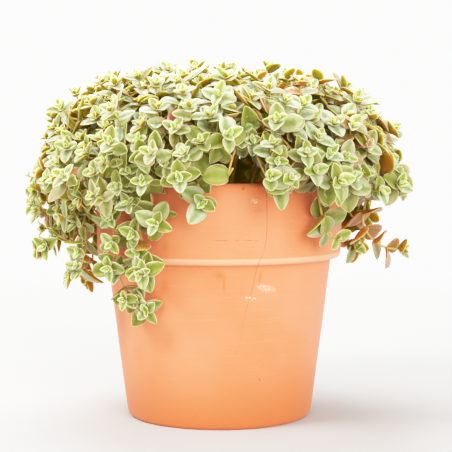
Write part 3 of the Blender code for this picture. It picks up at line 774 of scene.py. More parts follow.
@dataclass(frozen=True)
class CrassulaStem:
    """The thin smooth bark of a crassula's stem: satin, ochre to russet, greener towards the tip."""

    ochre: str = "CBA96A"
    russet: str = "B98452"
    green: str = "AAAE54"
    roughness: tuple[float, float] = (0.42, 0.6)
    ior: float = 1.45
    patch: float = 6 * MM
    relief: float = 0.2 * MM

    def material(self) -> bpy.types.Material:
        """Makes the material.

        Returns:
            The material.
        """
        made, w = Weaver.material("crassula_stem_bark")
        place = w.add("TexCoord", out="Object")
        growth = w.add("Attribute", out="Color", attribute_name="growth")
        back = w.add("SeparateColor", [growth])
        patch = w.add("TexNoise", {"Vector": place, "Scale": 1 / self.patch, "Detail": 3.0})
        layers = (
            (w.add("MapRange", [patch, 0.4, 0.65], **SMOOTH), self.russet),
            (w.add("MapRange", [back, 0.25, 0.0], **SMOOTH), self.green),
        )
        colour = linear(self.ochre)
        for share, tone in layers:
            colour = w.add("Mix", {0: share, 6: colour, 7: linear(tone)}, 2, **COLOURS)
        bump = w.add("Bump", {"Height": patch, "Strength": 0.3, "Distance": self.relief})
        shader = {
            "Base Color": colour,
            "Roughness": w.add("MapRange", [patch, 0.3, 0.7, *self.roughness], **SMOOTH),
            "IOR": self.ior,
            "Normal": bump,
            "Subsurface Weight": 0.2,
            "Subsurface Scale": 1.0 * MM,
        }
        w.add("OutputMaterial", [w.add("BsdfPrincipled", shader)])
        return made


@dataclass(frozen=True)
class MattPaint:
    """Matt pale paint of the studio floor: soft shadows, no gloss, and a fade into the white far off."""

    white: str = "BABBBB"
    haze: str = "F8F8F7"
    glow: float = 1.95
    cloud: float = 0.5
    fade: tuple[float, float] = (0.30, 1.10)

    def material(self) -> bpy.types.Material:
        """Makes the material.

        Returns:
            The material.
        """
        made, w = Weaver.material("matt_studio_paint")
        place = w.add("TexCoord", out="Object")
        cloud = w.add("TexNoise", {"Vector": place, "Scale": 1 / self.cloud, "Detail": 2.0})
        share = w.add("MapRange", [cloud, 0.3, 0.7, 0.0, 0.1], **SMOOTH)
        tone = w.add("Mix", {0: share, 6: linear(self.white), 7: linear(self.haze)}, 2, **COLOURS)
        rough = w.add("MapRange", [cloud, 0.3, 0.7, 0.95, 1.0], **SMOOTH)
        paint = w.add("BsdfPrincipled", {"Base Color": tone, "Roughness": rough, "Specular IOR Level": 0.0})
        glow = w.add("Emission", {"Color": linear(self.haze), "Strength": self.glow})
        away = w.add("VectorMath", [place], "Value", operation="LENGTH")
        far = w.add("MapRange", [away, *self.fade], **SMOOTH)
        w.add("OutputMaterial", [w.add("MixShader", [far, paint, glow])])
        return made


@dataclass
class ClayPot:
    """The clay pot: a slightly tapered body, a deep rim with a cove under it, and a drain hole."""

    height: float = 160 * MM
    rim_radius: float = 85.0 * MM
    rim_foot_radius: float = 83.8 * MM
    rim_foot_z: float = 112 * MM
    cove_z: float = 106 * MM
    body_top_radius: float = 76.8 * MM
    base_radius: float = 63.2 * MM
    rim_wall: float = 8.0 * MM
    rim_draft: float = 0.5 * MM
    wall: float = 6.5 * MM
    inner_step: float = 8.0 * MM
    floor: float = 9.0 * MM
    floor_round: float = 4.0 * MM
    edge_round: float = 3.0 * MM
    ledge_z: float = 108.3 * MM
    bead_round: float = 3.9 * MM
    cove_round: float = 1.2 * MM
    cove_drop: float = 1.3 * MM
    side_drop: float = 1.6 * MM
    drain_edge: float = 0.6 * MM
    side_rows: int = 26
    face_rows: int = 12
    drain_radius: float = 10.0 * MM
    segments: int = 160
    wobble: float = 0.12 * MM
    finish: Terracotta = Terracotta()

    def outer_radius(self, z: Array | float) -> Array:
        """The pot's outer radius at each height."""
        heights = (0.0, self.cove_z, self.rim_foot_z, self.height)
        radii = (self.base_radius, self.body_top_radius, self.rim_foot_radius, self.rim_radius)
        return np.interp(z, heights, radii)

    def inner_radius(self, z: Array | float) -> Array:
        """The pot's inner radius at each height."""
        heights = (self.floor, self.cove_z - self.inner_step, self.cove_z, self.height)
        inside_rim = self.rim_radius - self.rim_wall
        radii = (
            self.base_radius - self.wall,
            self.body_top_radius - self.wall,
            inside_rim - self.rim_draft,
            inside_rim,
        )
        return np.interp(z, heights, radii)

    def body_radius(self, z: Array | float) -> Array:
        """The outer radius of the body under the rim, whose straight side runs on up to the ledge."""
        return self.base_radius + (self.body_top_radius - self.base_radius) * z / self.cove_z

    @staticmethod
    def arc(middle: tuple[float, float], radius: float, start: float, end: float, count: int = 6) -> Array:
        """Points of radius and height on an arc, between two angles in degrees from straight out."""
        angle = np.radians(np.linspace(start, end, count))
        return np.array(middle) + radius * np.column_stack([np.cos(angle), np.sin(angle)])

    def profile(self) -> Array:
        """Works out the pot's section.

        It runs from the drain hole out along the base, up the body with its rounded foot, out along the ledge
        and round the bead under the rim, over the rounded lip, and down the inside to the floor.

        Returns:
            Points of radius and height on a closed loop.
        """
        r = self.edge_round
        inside = self.rim_radius - self.rim_wall
        rise = np.linspace(r * 1.4, self.ledge_z - self.side_drop, self.side_rows)[:, None]
        side = np.hstack([self.body_radius(rise), rise])
        corner = self.body_radius(self.ledge_z)
        bead = self.bead_round
        edge = self.rim_foot_radius - bead
        turn = self.cove_round
        cove = np.vstack(
            [
                self.arc((corner + turn, self.ledge_z - self.cove_drop), turn, 172, 100, 4),
                self.arc((edge, self.ledge_z + bead), bead, -88, -6, 9),
            ]
        )
        band = np.linspace(self.ledge_z + 1.3 * bead, self.height - r, self.face_rows)[:, None]
        face = np.hstack([self.outer_radius(band), band])
        return np.vstack(
            [
                [(self.drain_radius, self.drain_edge), (self.drain_radius + self.drain_edge, 0.0)],
                [(self.base_radius * 0.6, 0.0), (self.base_radius - 2 * r, 0.0)],
                self.arc((self.base_radius - r, r), r, -90, -12, 7),
                side,
                cove,
                face,
                self.arc((self.rim_radius - r, self.height - r), r, 8, 90, 7),
                self.arc((inside + r, self.height - r), r, 90, 180, 7),
                [(self.inner_radius(self.cove_z), self.cove_z)],
                [(self.inner_radius(self.cove_z - self.inner_step), self.cove_z - self.inner_step)],
                [(self.inner_radius(self.floor + self.floor_round), self.floor + self.floor_round)],
                [(self.inner_radius(self.floor) - self.floor_round, self.floor)],
                [(self.drain_radius, self.floor)],
            ]
        )

    def crack(self) -> Array:
        """Where the hairline crack passes on the pot's front, from the rim down: across and up, in metres."""
        passes = [(29, 159), (30, 140), (29, 122), (24, 107), (21, 93), (16, 75), (12, 54), (-1, 41)]
        return np.array(passes) * MM

    def build(self) -> bpy.types.Object:
        """Makes the pot and puts it in the place of its solid.

        The turned surface is moved in and out a little by smooth noise, less than a hair, as fired clay is.

        Returns:
            The pot's object.
        """
        shell = turned(self.profile(), self.segments, closed=True)
        away = outwards(shell.points)
        shell.points += away * (self.wobble * smooth_noise(shell.points, 60 * MM, 1) - self.wobble)[:, None]
        obj = shell.to_object("clay_pot", [self.finish.material(self.crack(), self.height)])
        return settle(obj, Slot.CLAY, "pot")


@dataclass
class PottingMix:
    """The potting mix that fills the pot: a crumbly, slightly crowned top with grains lying on it."""

    pot: ClayPot
    drop: float = 12.0 * MM
    crown: float = 2.0 * MM
    gap: float = 0.6 * MM
    seat_gap: float = 0.3 * MM
    lump: float = 0.7 * MM
    grains: int = 520
    grain_sizes: tuple[float, float] = (0.7 * MM, 1.9 * MM)
    perlite_share: float = 0.18
    edge_drop: float = 3 * MM
    grain_margin: float = 3 * MM
    segments: int = 120
    rings: int = 34
    finish: PeatCrumb = PeatCrumb()
    grain_finish: Perlite = Perlite()

    def height(self, radius: Array | float) -> Array:
        """The height of the mix's top at each radius."""
        edge = self.pot.inner_radius(self.pot.height - self.drop)
        return self.pot.height - self.drop + self.crown * (1 - (radius / edge) ** 2)

    def body(self) -> Shell:
        """The body of the mix: turned, with small lumps raised on its top by noise.

        Returns:
            The closed shell of the body.
        """
        pot = self.pot
        edge_z = pot.height - self.drop
        edge = pot.inner_radius(edge_z) - self.gap
        low, high = pot.floor + pot.floor_round, edge_z - self.edge_drop
        levels = np.array([low, pot.cove_z - pot.inner_step, pot.cove_z, high])
        sides = np.column_stack([pot.inner_radius(levels) - self.gap, levels + self.seat_gap])
        top = np.linspace(0.995, 0, self.rings) * edge
        bottom = pot.inner_radius(pot.floor) - pot.floor_round - self.gap
        profile = np.vstack(
            [
                [(0.0, pot.floor + self.seat_gap), (bottom, pot.floor + self.seat_gap)],
                sides,
                np.column_stack([top, self.height(top) - self.lump]),
            ]
        )
        shell = turned(profile, self.segments, closed=False)
        radius = np.hypot(*shell.points[:, :2].T)
        upper = shell.points[:, 2] > edge_z - 2 * MM
        rough = smooth_noise(shell.points, 9 * MM, 2) + 0.6 * smooth_noise(shell.points, 3.5 * MM, 3)
        shell.points[:, 2] += np.where(upper & (radius > 0), self.lump * 0.5 * rough, 0)
        return shell

    def crumbs(self) -> Shell:
        """Grains on the mix: each is a ball of 6 by 4 cells, squashed, turned and dented by seeded draws.

        Returns:
            All grains in one shell, with finish 0 for crumbs and 1 for perlite.
        """
        draw = np.random.default_rng([SEED, CRUMB_SEED])
        edge = self.pot.inner_radius(self.pot.height - self.drop) - self.grain_margin
        angle = draw.uniform(0, 2 * np.pi, self.grains)
        radius = edge * np.sqrt(draw.uniform(0, 1, self.grains))
        sizes = draw.uniform(*self.grain_sizes, self.grains)
        z = self.height(radius) - self.lump + 0.3 * sizes
        middle = np.column_stack([radius * np.cos(angle), radius * np.sin(angle), z])
        rise = np.radians(np.linspace(-90, 90, 5))
        ball = turned(np.column_stack([np.cos(rise), np.sin(rise)]).clip(0), 6, closed=False)
        frames = np.linalg.qr(draw.normal(size=(self.grains, 3, 3)))[0]
        frames *= np.sign(np.linalg.det(frames))[:, None, None]
        stretch = draw.uniform(0.5, 1.0, (self.grains, 1, 3)) * sizes[:, None, None]
        dents = 1 + 0.18 * draw.normal(size=(self.grains, len(ball.points), 1)).clip(-1.5, 1.5)
        places = middle[:, None] + (ball.points * dents * stretch) @ frames
        count = len(ball.points)
        starts = (np.arange(self.grains) * count)[:, None]
        white = draw.uniform(0, 1, self.grains) < self.perlite_share
        return Shell(
            places.reshape(-1, 3),
            (ball.corners + starts).ravel(),
            np.tile(ball.sizes, self.grains),
            np.tile(ball.uv, (self.grains, 1)),
            np.zeros((self.grains * count, 4)),
            np.repeat(white.astype(int), len(ball.sizes)),
        )

    def build(self) -> bpy.types.Object:
        """Makes the mix and puts it in the place of its solid."""
        shell = Shell.joined([self.body(), self.crumbs()])
        obj = shell.to_object("crumbly_potting_mix", [self.finish.material(), self.grain_finish.material()])
        return settle(obj, Slot.MIX, "potting_mix")

    def holds(self, points: Array, gap: float) -> Array:
        """Which points lie in the pot or the mix, or nearer to them than a gap.

        Args:
            points: The points, with their places along the last axis.
            gap: The gap, in metres.

        Returns:
            A mask with one value for each point.
        """
        radius, z = np.hypot(points[..., 0], points[..., 1]), points[..., 2]
        pot = self.pot
        outside = radius < pot.outer_radius(z) + gap
        wall = (radius > pot.inner_radius(z) - gap) & outside & (z < pot.height + gap)
        return wall | ((radius < pot.inner_radius(z)) & (z < self.height(radius) + gap))


def settle(obj: bpy.types.Object, slot: Slot, *nodes: str) -> bpy.types.Object:
    """Makes a piece ride on the body and puts it in place of its nodes.

    Args:
        obj: The piece.
        slot: The record's slot for its finish; not used.
        *nodes: The nodes that it stands for.

    Returns:
        The piece.
    """
    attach(obj, BODY)
    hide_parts(*nodes)
    log.info("%s: %d faces, stands for %s", obj.name, len(obj.data.polygons), ", ".join(nodes))
    return obj


class Habit(Enum):
    """How leaves are set out: each pair's way from the tip and length, in mm, and its angle in degrees."""

    BUSH = (
        *((0.2, 3.6, 14), (0.7, 6.2, 30), (1.5, 9.2, 48), (3.0, 12.2, 64)),
        *((10.0, 14.8, 76), (18.0, 15.6, 84), (27.0, 14.5, 92)),
    )
    FILL = (
        *((0.2, 3.2, 14), (0.6, 5.4, 32), (1.3, 8.0, 50), (2.6, 10.4, 66)),
        *((9.0, 12.6, 78), (16.5, 13.6, 88)),
    )
    TRAIL = (
        *((0.2, 3.6, 14), (0.8, 6.4, 32), (1.7, 9.6, 52), (3.2, 12.4, 68)),
        *((10.0, 14.4, 74), (19.0, 15.4, 76), (28.5, 15.8, 78), (38.5, 15.6, 80)),
        *((49.0, 15.0, 80), (60.0, 14.6, 82), (71.0, 14.4, 84)),
    )
    LARGE = (
        *((0.3, 4.0, 18), (1.5, 9.0, 56), (10.0, 15.5, 66), (21.0, 17.5, 66)),
        *((33.0, 18.8, 72), (45.0, 17.6, 78), (56.0, 16.0, 82)),
    )
    CHAIN = (
        *((0.2, 7.0, 20), (0.9, 9.5, 44), (9.0, 12.0, 50), (19.0, 13.0, 52)),
        *((30.0, 14.0, 56), (41.0, 14.4, 62), (53.0, 14.6, 70), (66.0, 14.6, 78)),
    )
    SPRIG = ((0.2, 3.4, 16), (0.6, 5.8, 34), (1.4, 8.6, 54), (3.0, 11.4, 70))


@dataclass
class Shoot:
    """One stretch of stem that ends in leaves. Its fork is a share of the way up, or 0 if it has none."""

    number: int
    route: Array
    radius: float
    habit: Habit
    size: float = 1.0
    fork: float = 0.0
    blush: float = 0.1


@dataclass
class Strand:
    """A smooth line from a shoot's foot to its tip, with its direction and its side at each point."""

    points: Array
    ahead: Array
    across: Array

    @classmethod
    def of(cls, shoot: Shoot, step: float) -> "Strand":
        """Lays the strand along a shoot's route.

        The side is the seeded first one, carried along the line: at each point its part along the line's
        direction is taken away, so it never twists.

        Args:
            shoot: The shoot.
            step: The length between points, in metres.

        Returns:
            The strand.
        """
        smooth = through(shoot.route, 4 * len(shoot.route))
        count = max(6, int(lengths_along(smooth)[-1] / step) + 1)
        points = evenly(smooth, count)
        ahead = unit(np.gradient(points, axis=0))
        turn = draw_for(shoot.number, "turn").uniform(0, 2 * np.pi)
        side = np.array([np.cos(turn), np.sin(turn), 0.0])
        across = []
        for direction in ahead:
            side = unit(side - direction * (side @ direction))
            across.append(side)
        return cls(points, ahead, np.array(across))

    def at(self, back: Array) -> tuple[Array, Array, Array]:
        """Reads the strand between its points.

        Args:
            back: Lengths back from the tip, in metres.

        Returns:
            The places, directions and sides there.
        """
        along = lengths_along(self.points)
        where = along[-1] - back
        place, ahead, across = (
            np.stack([np.interp(where, along, values[:, k]) for k in range(3)], 1)
            for values in (self.points, self.ahead, self.across)
        )
        ahead = unit(ahead)
        return place, ahead, squared_to(across, ahead)

    def tube(self, radius: float, taper: float, sides: int) -> Shell:
        """A round stem along the strand, closed at both ends by a point.

        Point (i, j) is the strand's point i, moved out by the radius there at angle 2 pi j / sides.

        Args:
            radius: The radius at the foot.
            taper: The share of it that is lost towards the tip.
            sides: How many sides the stem has.

        Returns:
            The stem's shell.
        """
        count = len(self.points)
        other = np.cross(self.ahead, self.across)
        angle = np.arange(sides) * 2 * np.pi / sides
        thick = radius * (1 - taper * np.linspace(0, 1, count))
        out = self.across[:, None] * np.cos(angle)[:, None] + other[:, None] * np.sin(angle)[:, None]
        rings = self.points[:, None] + thick[:, None, None] * out
        foot = self.points[0] - radius * self.ahead[0]
        tip = self.points[-1] + thick[-1] * self.ahead[-1]
        points = np.vstack([np.tile(foot, (sides, 1)), rings.reshape(-1, 3), np.tile(tip, (sides, 1))])
        index = np.arange((count + 2) * sides).reshape(count + 2, sides)
        index[0], index[-1] = index[0, 0], index[-1, 0]
        quads = np.stack([index[:-1], np.roll(index[:-1], -1, 1), np.roll(index[1:], -1, 1), index[1:]], 2)
        uv = np.zeros((quads.shape[0] * sides, 4, 2))
        shell = compact(points, quads.reshape(-1, 4), uv)
        shell.finish[:] = 1
        back = np.linalg.norm(shell.points - self.points[-1], axis=1)
        shell.growth[:, 0] = np.clip(back / GREEN_REACH, 0, 1)
        return shell


@dataclass
class LeafBatch:
    """Leaves as whole arrays, a row for each. Width is a share of length, growth is age, tint and blush."""

    foot: Array
    along: Array
    normal: Array
    length: Array
    width: Array
    curl: Array
    fold: Array
    growth: Array

    def kept(self, keep: Array) -> "LeafBatch":
        """The leaves that a mask keeps."""
        return LeafBatch(*(getattr(self, name)[keep] for name in self.__dataclass_fields__))

    @staticmethod
    def joined(batches: list["LeafBatch"]) -> "LeafBatch":
        """All the leaves of several batches in one."""
        names = LeafBatch.__dataclass_fields__
        return LeafBatch(*(np.concatenate([getattr(batch, name) for batch in batches]) for name in names))


@dataclass
class LeafForm:
    """The form of every leaf, as a function of how far across it and how far along it a point is.

    With u from -1 to 1 across and v from 0 to 1 along, half the width is w = width / 2 * g(v), where g is
    (v + foot)^rise * (1 - v)^fall, brought to a height of 1. The middle of the leaf lies on an arc. A point
    lies u * w to the side of it, raised by cup * w * u^2 and fold * w * |u|. The upper skin lies a share of
    the thickness above that, and the lower skin the rest below, and both meet at the edge. The thickness is
    lost towards the tip as (1 - v^a)^b, where a and b are the taper. A curl under least_curl counts as that.
    """

    stations: tuple[float, ...] = (0.03, 0.17, 0.36, 0.57, 0.77, 0.92)
    sides: tuple[float, ...] = (-1.0, -0.52, 0.0, 0.52, 1.0)
    rise: float = 0.48
    fall: float = 0.68
    foot: float = 0.05
    cup: float = 0.16
    thickness: float = 0.105
    least_thickness: float = 0.75 * MM
    upper_share: float = 0.25
    taper: tuple[int, float] = (3, 0.6)
    least_curl: float = 1e-3

    def outline(self, v: Array) -> Array:
        """Half the width at each way along, as a share of its greatest."""
        fine = np.linspace(0, 1, 200)
        most = ((fine + self.foot) ** self.rise * (1 - fine) ** self.fall).max()
        return (v + self.foot) ** self.rise * (1 - v) ** self.fall / most

    def rings(self) -> tuple[Array, Array, Array]:
        """Lays out the rings of points round a leaf.

        Returns:
            How far across and how far along each point lies, and its skin: 1 upper, -1 lower, 0 the edge.
        """
        over, under = np.array(self.sides), np.array(self.sides[-2:0:-1])
        u = np.concatenate([over, under])
        skin = np.concatenate([[0], np.ones(len(over) - 2), [0], -np.ones(len(under))])
        shape = (len(self.stations), len(u))
        v = np.repeat(self.stations, len(u)).reshape(shape)
        return np.broadcast_to(u, shape), v, np.broadcast_to(skin, shape)

    def faces(self) -> tuple[Array, Array]:
        """The corners of one leaf's faces, and the place of each corner on the leaf.

        Returns:
            Four points for each face, of which the fans at foot and tip have one twice, and the uv of each
            corner, with 2 added to u on the underside.
        """
        around, rows = 2 * len(self.sides) - 2, len(self.stations)
        index = 1 + np.arange(rows * around).reshape(rows, around)
        index = np.vstack([np.zeros((1, around), int), index, np.full((1, around), rows * around + 1)])
        quads = np.stack([index[:-1], index[1:], np.roll(index[1:], -1, 1), np.roll(index[:-1], -1, 1)], 2)
        v = np.concatenate([[0.0], self.stations, [1.0]])
        u = np.concatenate([self.sides, self.sides[-2::-1]])
        below = np.where(np.arange(around) < len(self.sides) - 1, 0.0, 2.0)
        here, after = (u[:-1] + 1) / 2 + below, (u[1:] + 1) / 2 + below
        rows_v = np.stack([v[:-1], v[1:], v[1:], v[:-1]], 1)
        spread = np.stack([here, here, after, after], 1)
        uv = np.stack(np.broadcast_arrays(spread[None], rows_v[:, None]), 3)
        return quads.reshape(-1, 4), uv.reshape(-1, 4, 2)

    def shell(self, leaves: LeafBatch) -> Shell:
        """Makes every leaf of a batch.

        Args:
            leaves: The leaves.

        Returns:
            One shell of closed leaves.
        """
        u, v, skin = self.rings()
        count = len(leaves.length)
        length = leaves.length[:, None, None]
        half = 0.5 * leaves.width[:, None, None] * length * self.outline(v)
        arc = np.where(np.abs(leaves.curl) < self.least_curl, self.least_curl, leaves.curl)[:, None]
        curl = arc[..., None]
        reach, lift = length * np.sin(curl * v) / curl, length * (1 - np.cos(curl * v)) / curl
        fullness = (1 - v ** self.taper[0]) ** self.taper[1]
        thick = np.maximum(self.thickness * length, self.least_thickness) * fullness
        raised = half * (self.cup * u**2 + leaves.fold[:, None, None] * np.abs(u))
        level = np.where(skin > 0, self.upper_share, self.upper_share - 1)
        raised = raised + thick * level * np.abs(skin) * (1 - u**2) ** 0.5
        along, normal = leaves.along[:, None, None], leaves.normal[:, None, None]
        across = np.cross(leaves.normal, leaves.along)[:, None, None]
        slope = (curl * v)[..., None]
        up = np.cos(slope) * normal - np.sin(slope) * along
        foot = leaves.foot[:, None, None]
        places = foot + reach[..., None] * along + lift[..., None] * normal
        places = places + (u * half)[..., None] * across + raised[..., None] * up
        end = leaves.foot + leaves.length[:, None] * (
            np.sin(arc) / arc * leaves.along + (1 - np.cos(arc)) / arc * leaves.normal
        )
        points = np.concatenate([leaves.foot[:, None], places.reshape(count, -1, 3), end[:, None]], 1)
        rim = ((1 - np.abs(u)) * half / MM).reshape(count, -1)
        rim = np.pad(rim, ((0, 0), (1, 1)))
        growth = np.repeat(leaves.growth[:, None], points.shape[1], 1)
        growth = np.concatenate([growth, rim[..., None]], 2)
        quads, uv = self.faces()
        starts = (np.arange(count) * points.shape[1])[:, None, None]
        shell = compact(
            points.reshape(-1, 3),
            (quads + starts).reshape(-1, 4),
            np.tile(uv, (count, 1, 1)),
        )
        shell.growth = growth.reshape(-1, 4)
        return shell


@dataclass
class Canopy:
    """The surface that the tips lie on: a low dome, and a wall under it that hangs over the rim."""

    radius: float = 124 * MM
    height: float = 71 * MM
    base_z: float = 160 * MM
    roundness: float = 2.6
    dome_share: float = 0.82
    bare_side: tuple[float, float, float] = (78 * MM, 45 * MM, 150 * MM)
    lip_tuck: float = 10 * MM
    lip_lean: float = 0.2
    opening: tuple[float, float, float] = (13.0, -98.0, 159.0)
    opening_reach: tuple[float, float, float] = (17.0, 36.0, 22.0)
    lip_heights: dict[int, float] = field(
        default_factory=lambda: {
            0: 0.136, 50: 0.130, 95: 0.124, 140: 0.122, 180: 0.120,
            212: 0.138, 238: 0.158, 270: 0.167, 300: 0.160, 328: 0.146,
        }
    )

    def lip_height(self, azimuth: Array) -> Array:
        """The height of the lower lip at each azimuth in radians."""
        heights = self.lip_heights
        return np.interp(np.degrees(azimuth) % 360, list(heights), list(heights.values()), period=360)

    def opens_at(self, points: Array) -> Array:
        """Which points lie in the opening at the front, a rounded box."""
        away = (points - np.array(self.opening) * MM) / (np.array(self.opening_reach) * MM)
        return (away**4).sum(-1) < 1

    def is_bare(self, tip: Array) -> bool:
        """Whether a tip lies low at the front right, where only a few stems hang."""
        beyond, before, below = self.bare_side
        return bool(tip[0] > beyond and tip[1] < before and tip[2] < below)

    def dome(self, tilt: Array) -> tuple[Array, Array]:
        """The dome, a superellipse turned about the Z axis.

        Args:
            tilt: Angles from straight up, in radians.

        Returns:
            The radius and height there, and the normal.
        """
        power = self.roundness
        side = (np.sin(tilt) / self.radius) ** power
        rise = (np.cos(tilt) / self.height) ** power
        reach = (side + rise) ** (-1 / power)
        place = reach * np.array([np.sin(tilt), np.cos(tilt)])
        slant = 1 - 1 / power
        return place, np.array([side**slant / self.radius, rise**slant / self.height])

    def pool(
        self, rng: np.random.Generator, draws: int = 30000, step: float = 0.01
    ) -> tuple[Array, Array, Array]:
        """Spreads points evenly over the canopy, each kept with a chance in proportion to its area.

        Args:
            rng: The generator of the draws.
            draws: How many points to draw.
            step: The step in angle that measures the dome's slope.

        Returns:
            The points, their normals, and their share of the way to the lip.
        """
        azimuth = rng.uniform(0, 2 * np.pi, draws)
        way = rng.uniform(0, 2, draws)
        chance = rng.uniform(0, 1, draws)
        tilt = np.minimum(way, 1) * np.pi / 2
        below = np.maximum(way - 1, 0)
        place, normal = self.dome(tilt)
        beyond, _ = self.dome(np.minimum(tilt + step, np.pi / 2))
        slope = np.hypot(*(beyond - place)) / step * np.pi / 2
        drop = self.base_z - self.lip_height(azimuth)
        radius, rise = np.where(way < 1, place, [self.radius - self.lip_tuck * below**2, -drop * below])
        out_part, up_part = np.where(way < 1, normal, [np.ones(draws), -self.lip_lean * below])
        area = radius * np.where(way < 1, slope, np.maximum(drop, 0))
        compass = np.array([np.cos(azimuth), np.sin(azimuth)])
        points = np.array([*compass * radius, self.base_z + rise]).T
        normals = np.array([*compass * out_part, up_part]).T
        share = self.dome_share * tilt / (np.pi / 2) + (1 - self.dome_share) * below
        chosen = (chance * area.max() < area) & (points[:, 2] > self.lip_height(azimuth))
        return points[chosen], unit(normals[chosen]), share[chosen]


def spread_out(
    points: Array, taken: Array, count: int, rng: np.random.Generator, choices: int = 24
) -> list[int]:
    """Picks points, each the one of a few random choices that lies furthest from all before it.

    Args:
        points: The points to pick from.
        taken: Points that the picks keep away from.
        count: How many to pick.
        rng: The generator of the draws.
        choices: How many random choices each pick has.

    Returns:
        The indices of the picks.
    """
    gap = np.linalg.norm(points[:, None] - taken[None], axis=2).min(1)
    found = []
    for _ in range(count):
        trial = rng.integers(0, len(points), choices)
        best = int(trial[np.argmax(gap[trial])])
        found.append(best)
        gap = np.minimum(gap, np.linalg.norm(points - points[best], axis=1))
    return found


@dataclass
class LeafyStem:
    """One branching leafy stem: its shoots, the first of which stands in the mix."""

    name: str
    shoots: list[Shoot]
    fills: list[Shoot] = field(default_factory=list)


@dataclass
class Trailer:
    """A stem that leaves the bush: its place in the mix and the points it passes, in mm, and its leaves."""

    root: tuple[int, int]
    passes: list[tuple[int, int, int]]
    habit: Habit = Habit.TRAIL
    blush: float = 0.15
    sprigs: bool = False


TRAILERS = {
    "trailing_stem_left_long": Trailer(
        (-46, -42),
        [(-58, -58, 172), (-66, -67, 158), (-67, -66, 130), (-66, -63, 106), (-59, -62, 90), (-45, -64, 79)],
        blush=0.3,
        sprigs=True,
    ),
    "trailing_stem_left_rosette": Trailer(
        (-38, -52),
        [(-47, -66, 173), (-52, -78, 158), (-50, -80, 134), (-47, -80, 115), (-45, -87, 106)],
        sprigs=True,
    ),
    "trailing_stem_front_left": Trailer(
        (-28, -58),
        [(-38, -71, 171), (-43, -82, 160), (-41, -84, 145), (-38, -91, 137)],
    ),
    "trailing_stem_front": Trailer(
        (-6, -62),
        [(-12, -75, 168), (-14, -88, 164), (-10, -95, 150)],
    ),
    "trailing_stem_front_right": Trailer(
        (26, -56),
        [(30, -72, 170), (33, -86, 168), (34, -95, 158)],
    ),
    "trailing_stem_large_leaves": Trailer(
        (48, -42),
        [(55, -58, 171), (62, -70, 163), (64, -70, 146), (69, -70, 127)],
        Habit.LARGE,
    ),
    "trailing_stem_far_right": Trailer(
        (60, -14),
        [(80, -18, 172), (98, -20, 156), (97, -20, 132), (104, -20, 121), (114, -22, 115)],
        Habit.CHAIN,
        blush=0.95,
    ),
    "trailing_stem_left_hanging": Trailer(
        (-56, -26),
        [(-72, -32, 172), (-86, -38, 162), (-88, -40, 138), (-88, -40, 118), (-91, -42, 101)],
        sprigs=True,
    ),
    "trailing_stem_left_low": Trailer(
        (-63, -10),
        [(-80, -12, 174), (-99, -16, 158), (-105, -18, 134), (-114, -20, 117)],
        blush=0.2,
        sprigs=True,
    ),
    "trailing_stem_right_back": Trailer(
        (54, 34),
        [(70, 44, 172), (86, 54, 156), (90, 57, 130), (96, 60, 112)],
        blush=0.4,
        sprigs=True,
    ),
    "trailing_stem_back_right": Trailer(
        (22, 60),
        [(28, 76, 173), (34, 92, 158), (36, 97, 130), (34, 99, 106)],
        sprigs=True,
    ),
    "trailing_stem_back_left": Trailer(
        (-24, 58),
        [(-32, 76, 172), (-40, 93, 156), (-42, 98, 128), (-46, 104, 112)],
        sprigs=True,
    ),
    "trailing_stem_left_back": Trailer(
        (-54, 34),
        [(-68, 46, 173), (-84, 58, 158), (-90, 62, 132), (-94, 64, 104), (-92, 62, 88)],
        blush=0.3,
        sprigs=True,
    ),
}


@dataclass(frozen=True)
class LeafSpread:
    """How the leaves of one plant differ, each number the reach of a seeded draw or a change with place."""

    azimuth: float = 0.16
    lean: float = 7.0
    length: float = 0.1
    width: tuple[float, float] = (0.68, 0.86)
    curl: tuple[float, float] = (0.04, 0.22)
    droop: float = 0.35
    fold: tuple[float, float] = (0.16, 0.12)
    folded: tuple[float, float] = (0.08, 0.7)
    to_light: float = 0.6
    hanging: float = 0.9
    window: tuple[float, float, float] = (0.0, -0.9, 0.0)
    # Painted light: the share of a leaf's tint, which makes it waxier and paler, that comes from how far it
    # faces up.
    upward_light_paling: float = 0.45
    hang_z: tuple[float, float] = (168 * MM, 40 * MM)
    right: tuple[float, float, float] = (0.14, 0.11, 0.38)
    # Blush added towards the left edge: partly the leaves' own colour, partly painted light for light glowing
    # through them from behind.
    left_blush: float = 0.4
    left_x: tuple[float, float] = (-84 * MM, 30 * MM)
    leafy: float = 0.8
    ages: tuple[float, float] = (4.0, 8.5)
    in_front: tuple[float, float] = (0.5, 60 * MM)
    light: tuple[float, float] = (0.8, 0.7)
    right_least: float = -0.6
    blush_draw: tuple[float, float] = (0.5, 1.1)
    seat: float = 0.4


@dataclass(frozen=True)
class ShootSpread:
    """The least and most of what is drawn for a kind of shoot."""

    size: tuple[float, float]
    fork: tuple[float, float] = (0.0, 0.0)
    sink: tuple[float, float] = (0.0, 0.0)
    rare: int = 1


MAIN = ShootSpread((0.95, 1.15), sink=(-3 * MM, 7 * MM))
SIDE = ShootSpread((0.88, 1.10), (0.50, 0.66))
FILLING = ShootSpread((0.85, 1.20), (0.55, 0.85), (-8 * MM, 11 * MM), rare=5)
INNER = ShootSpread((0.90, 1.20), (0.30, 0.60), rare=2)
SPRIGS = ShootSpread((0.85, 1.15))


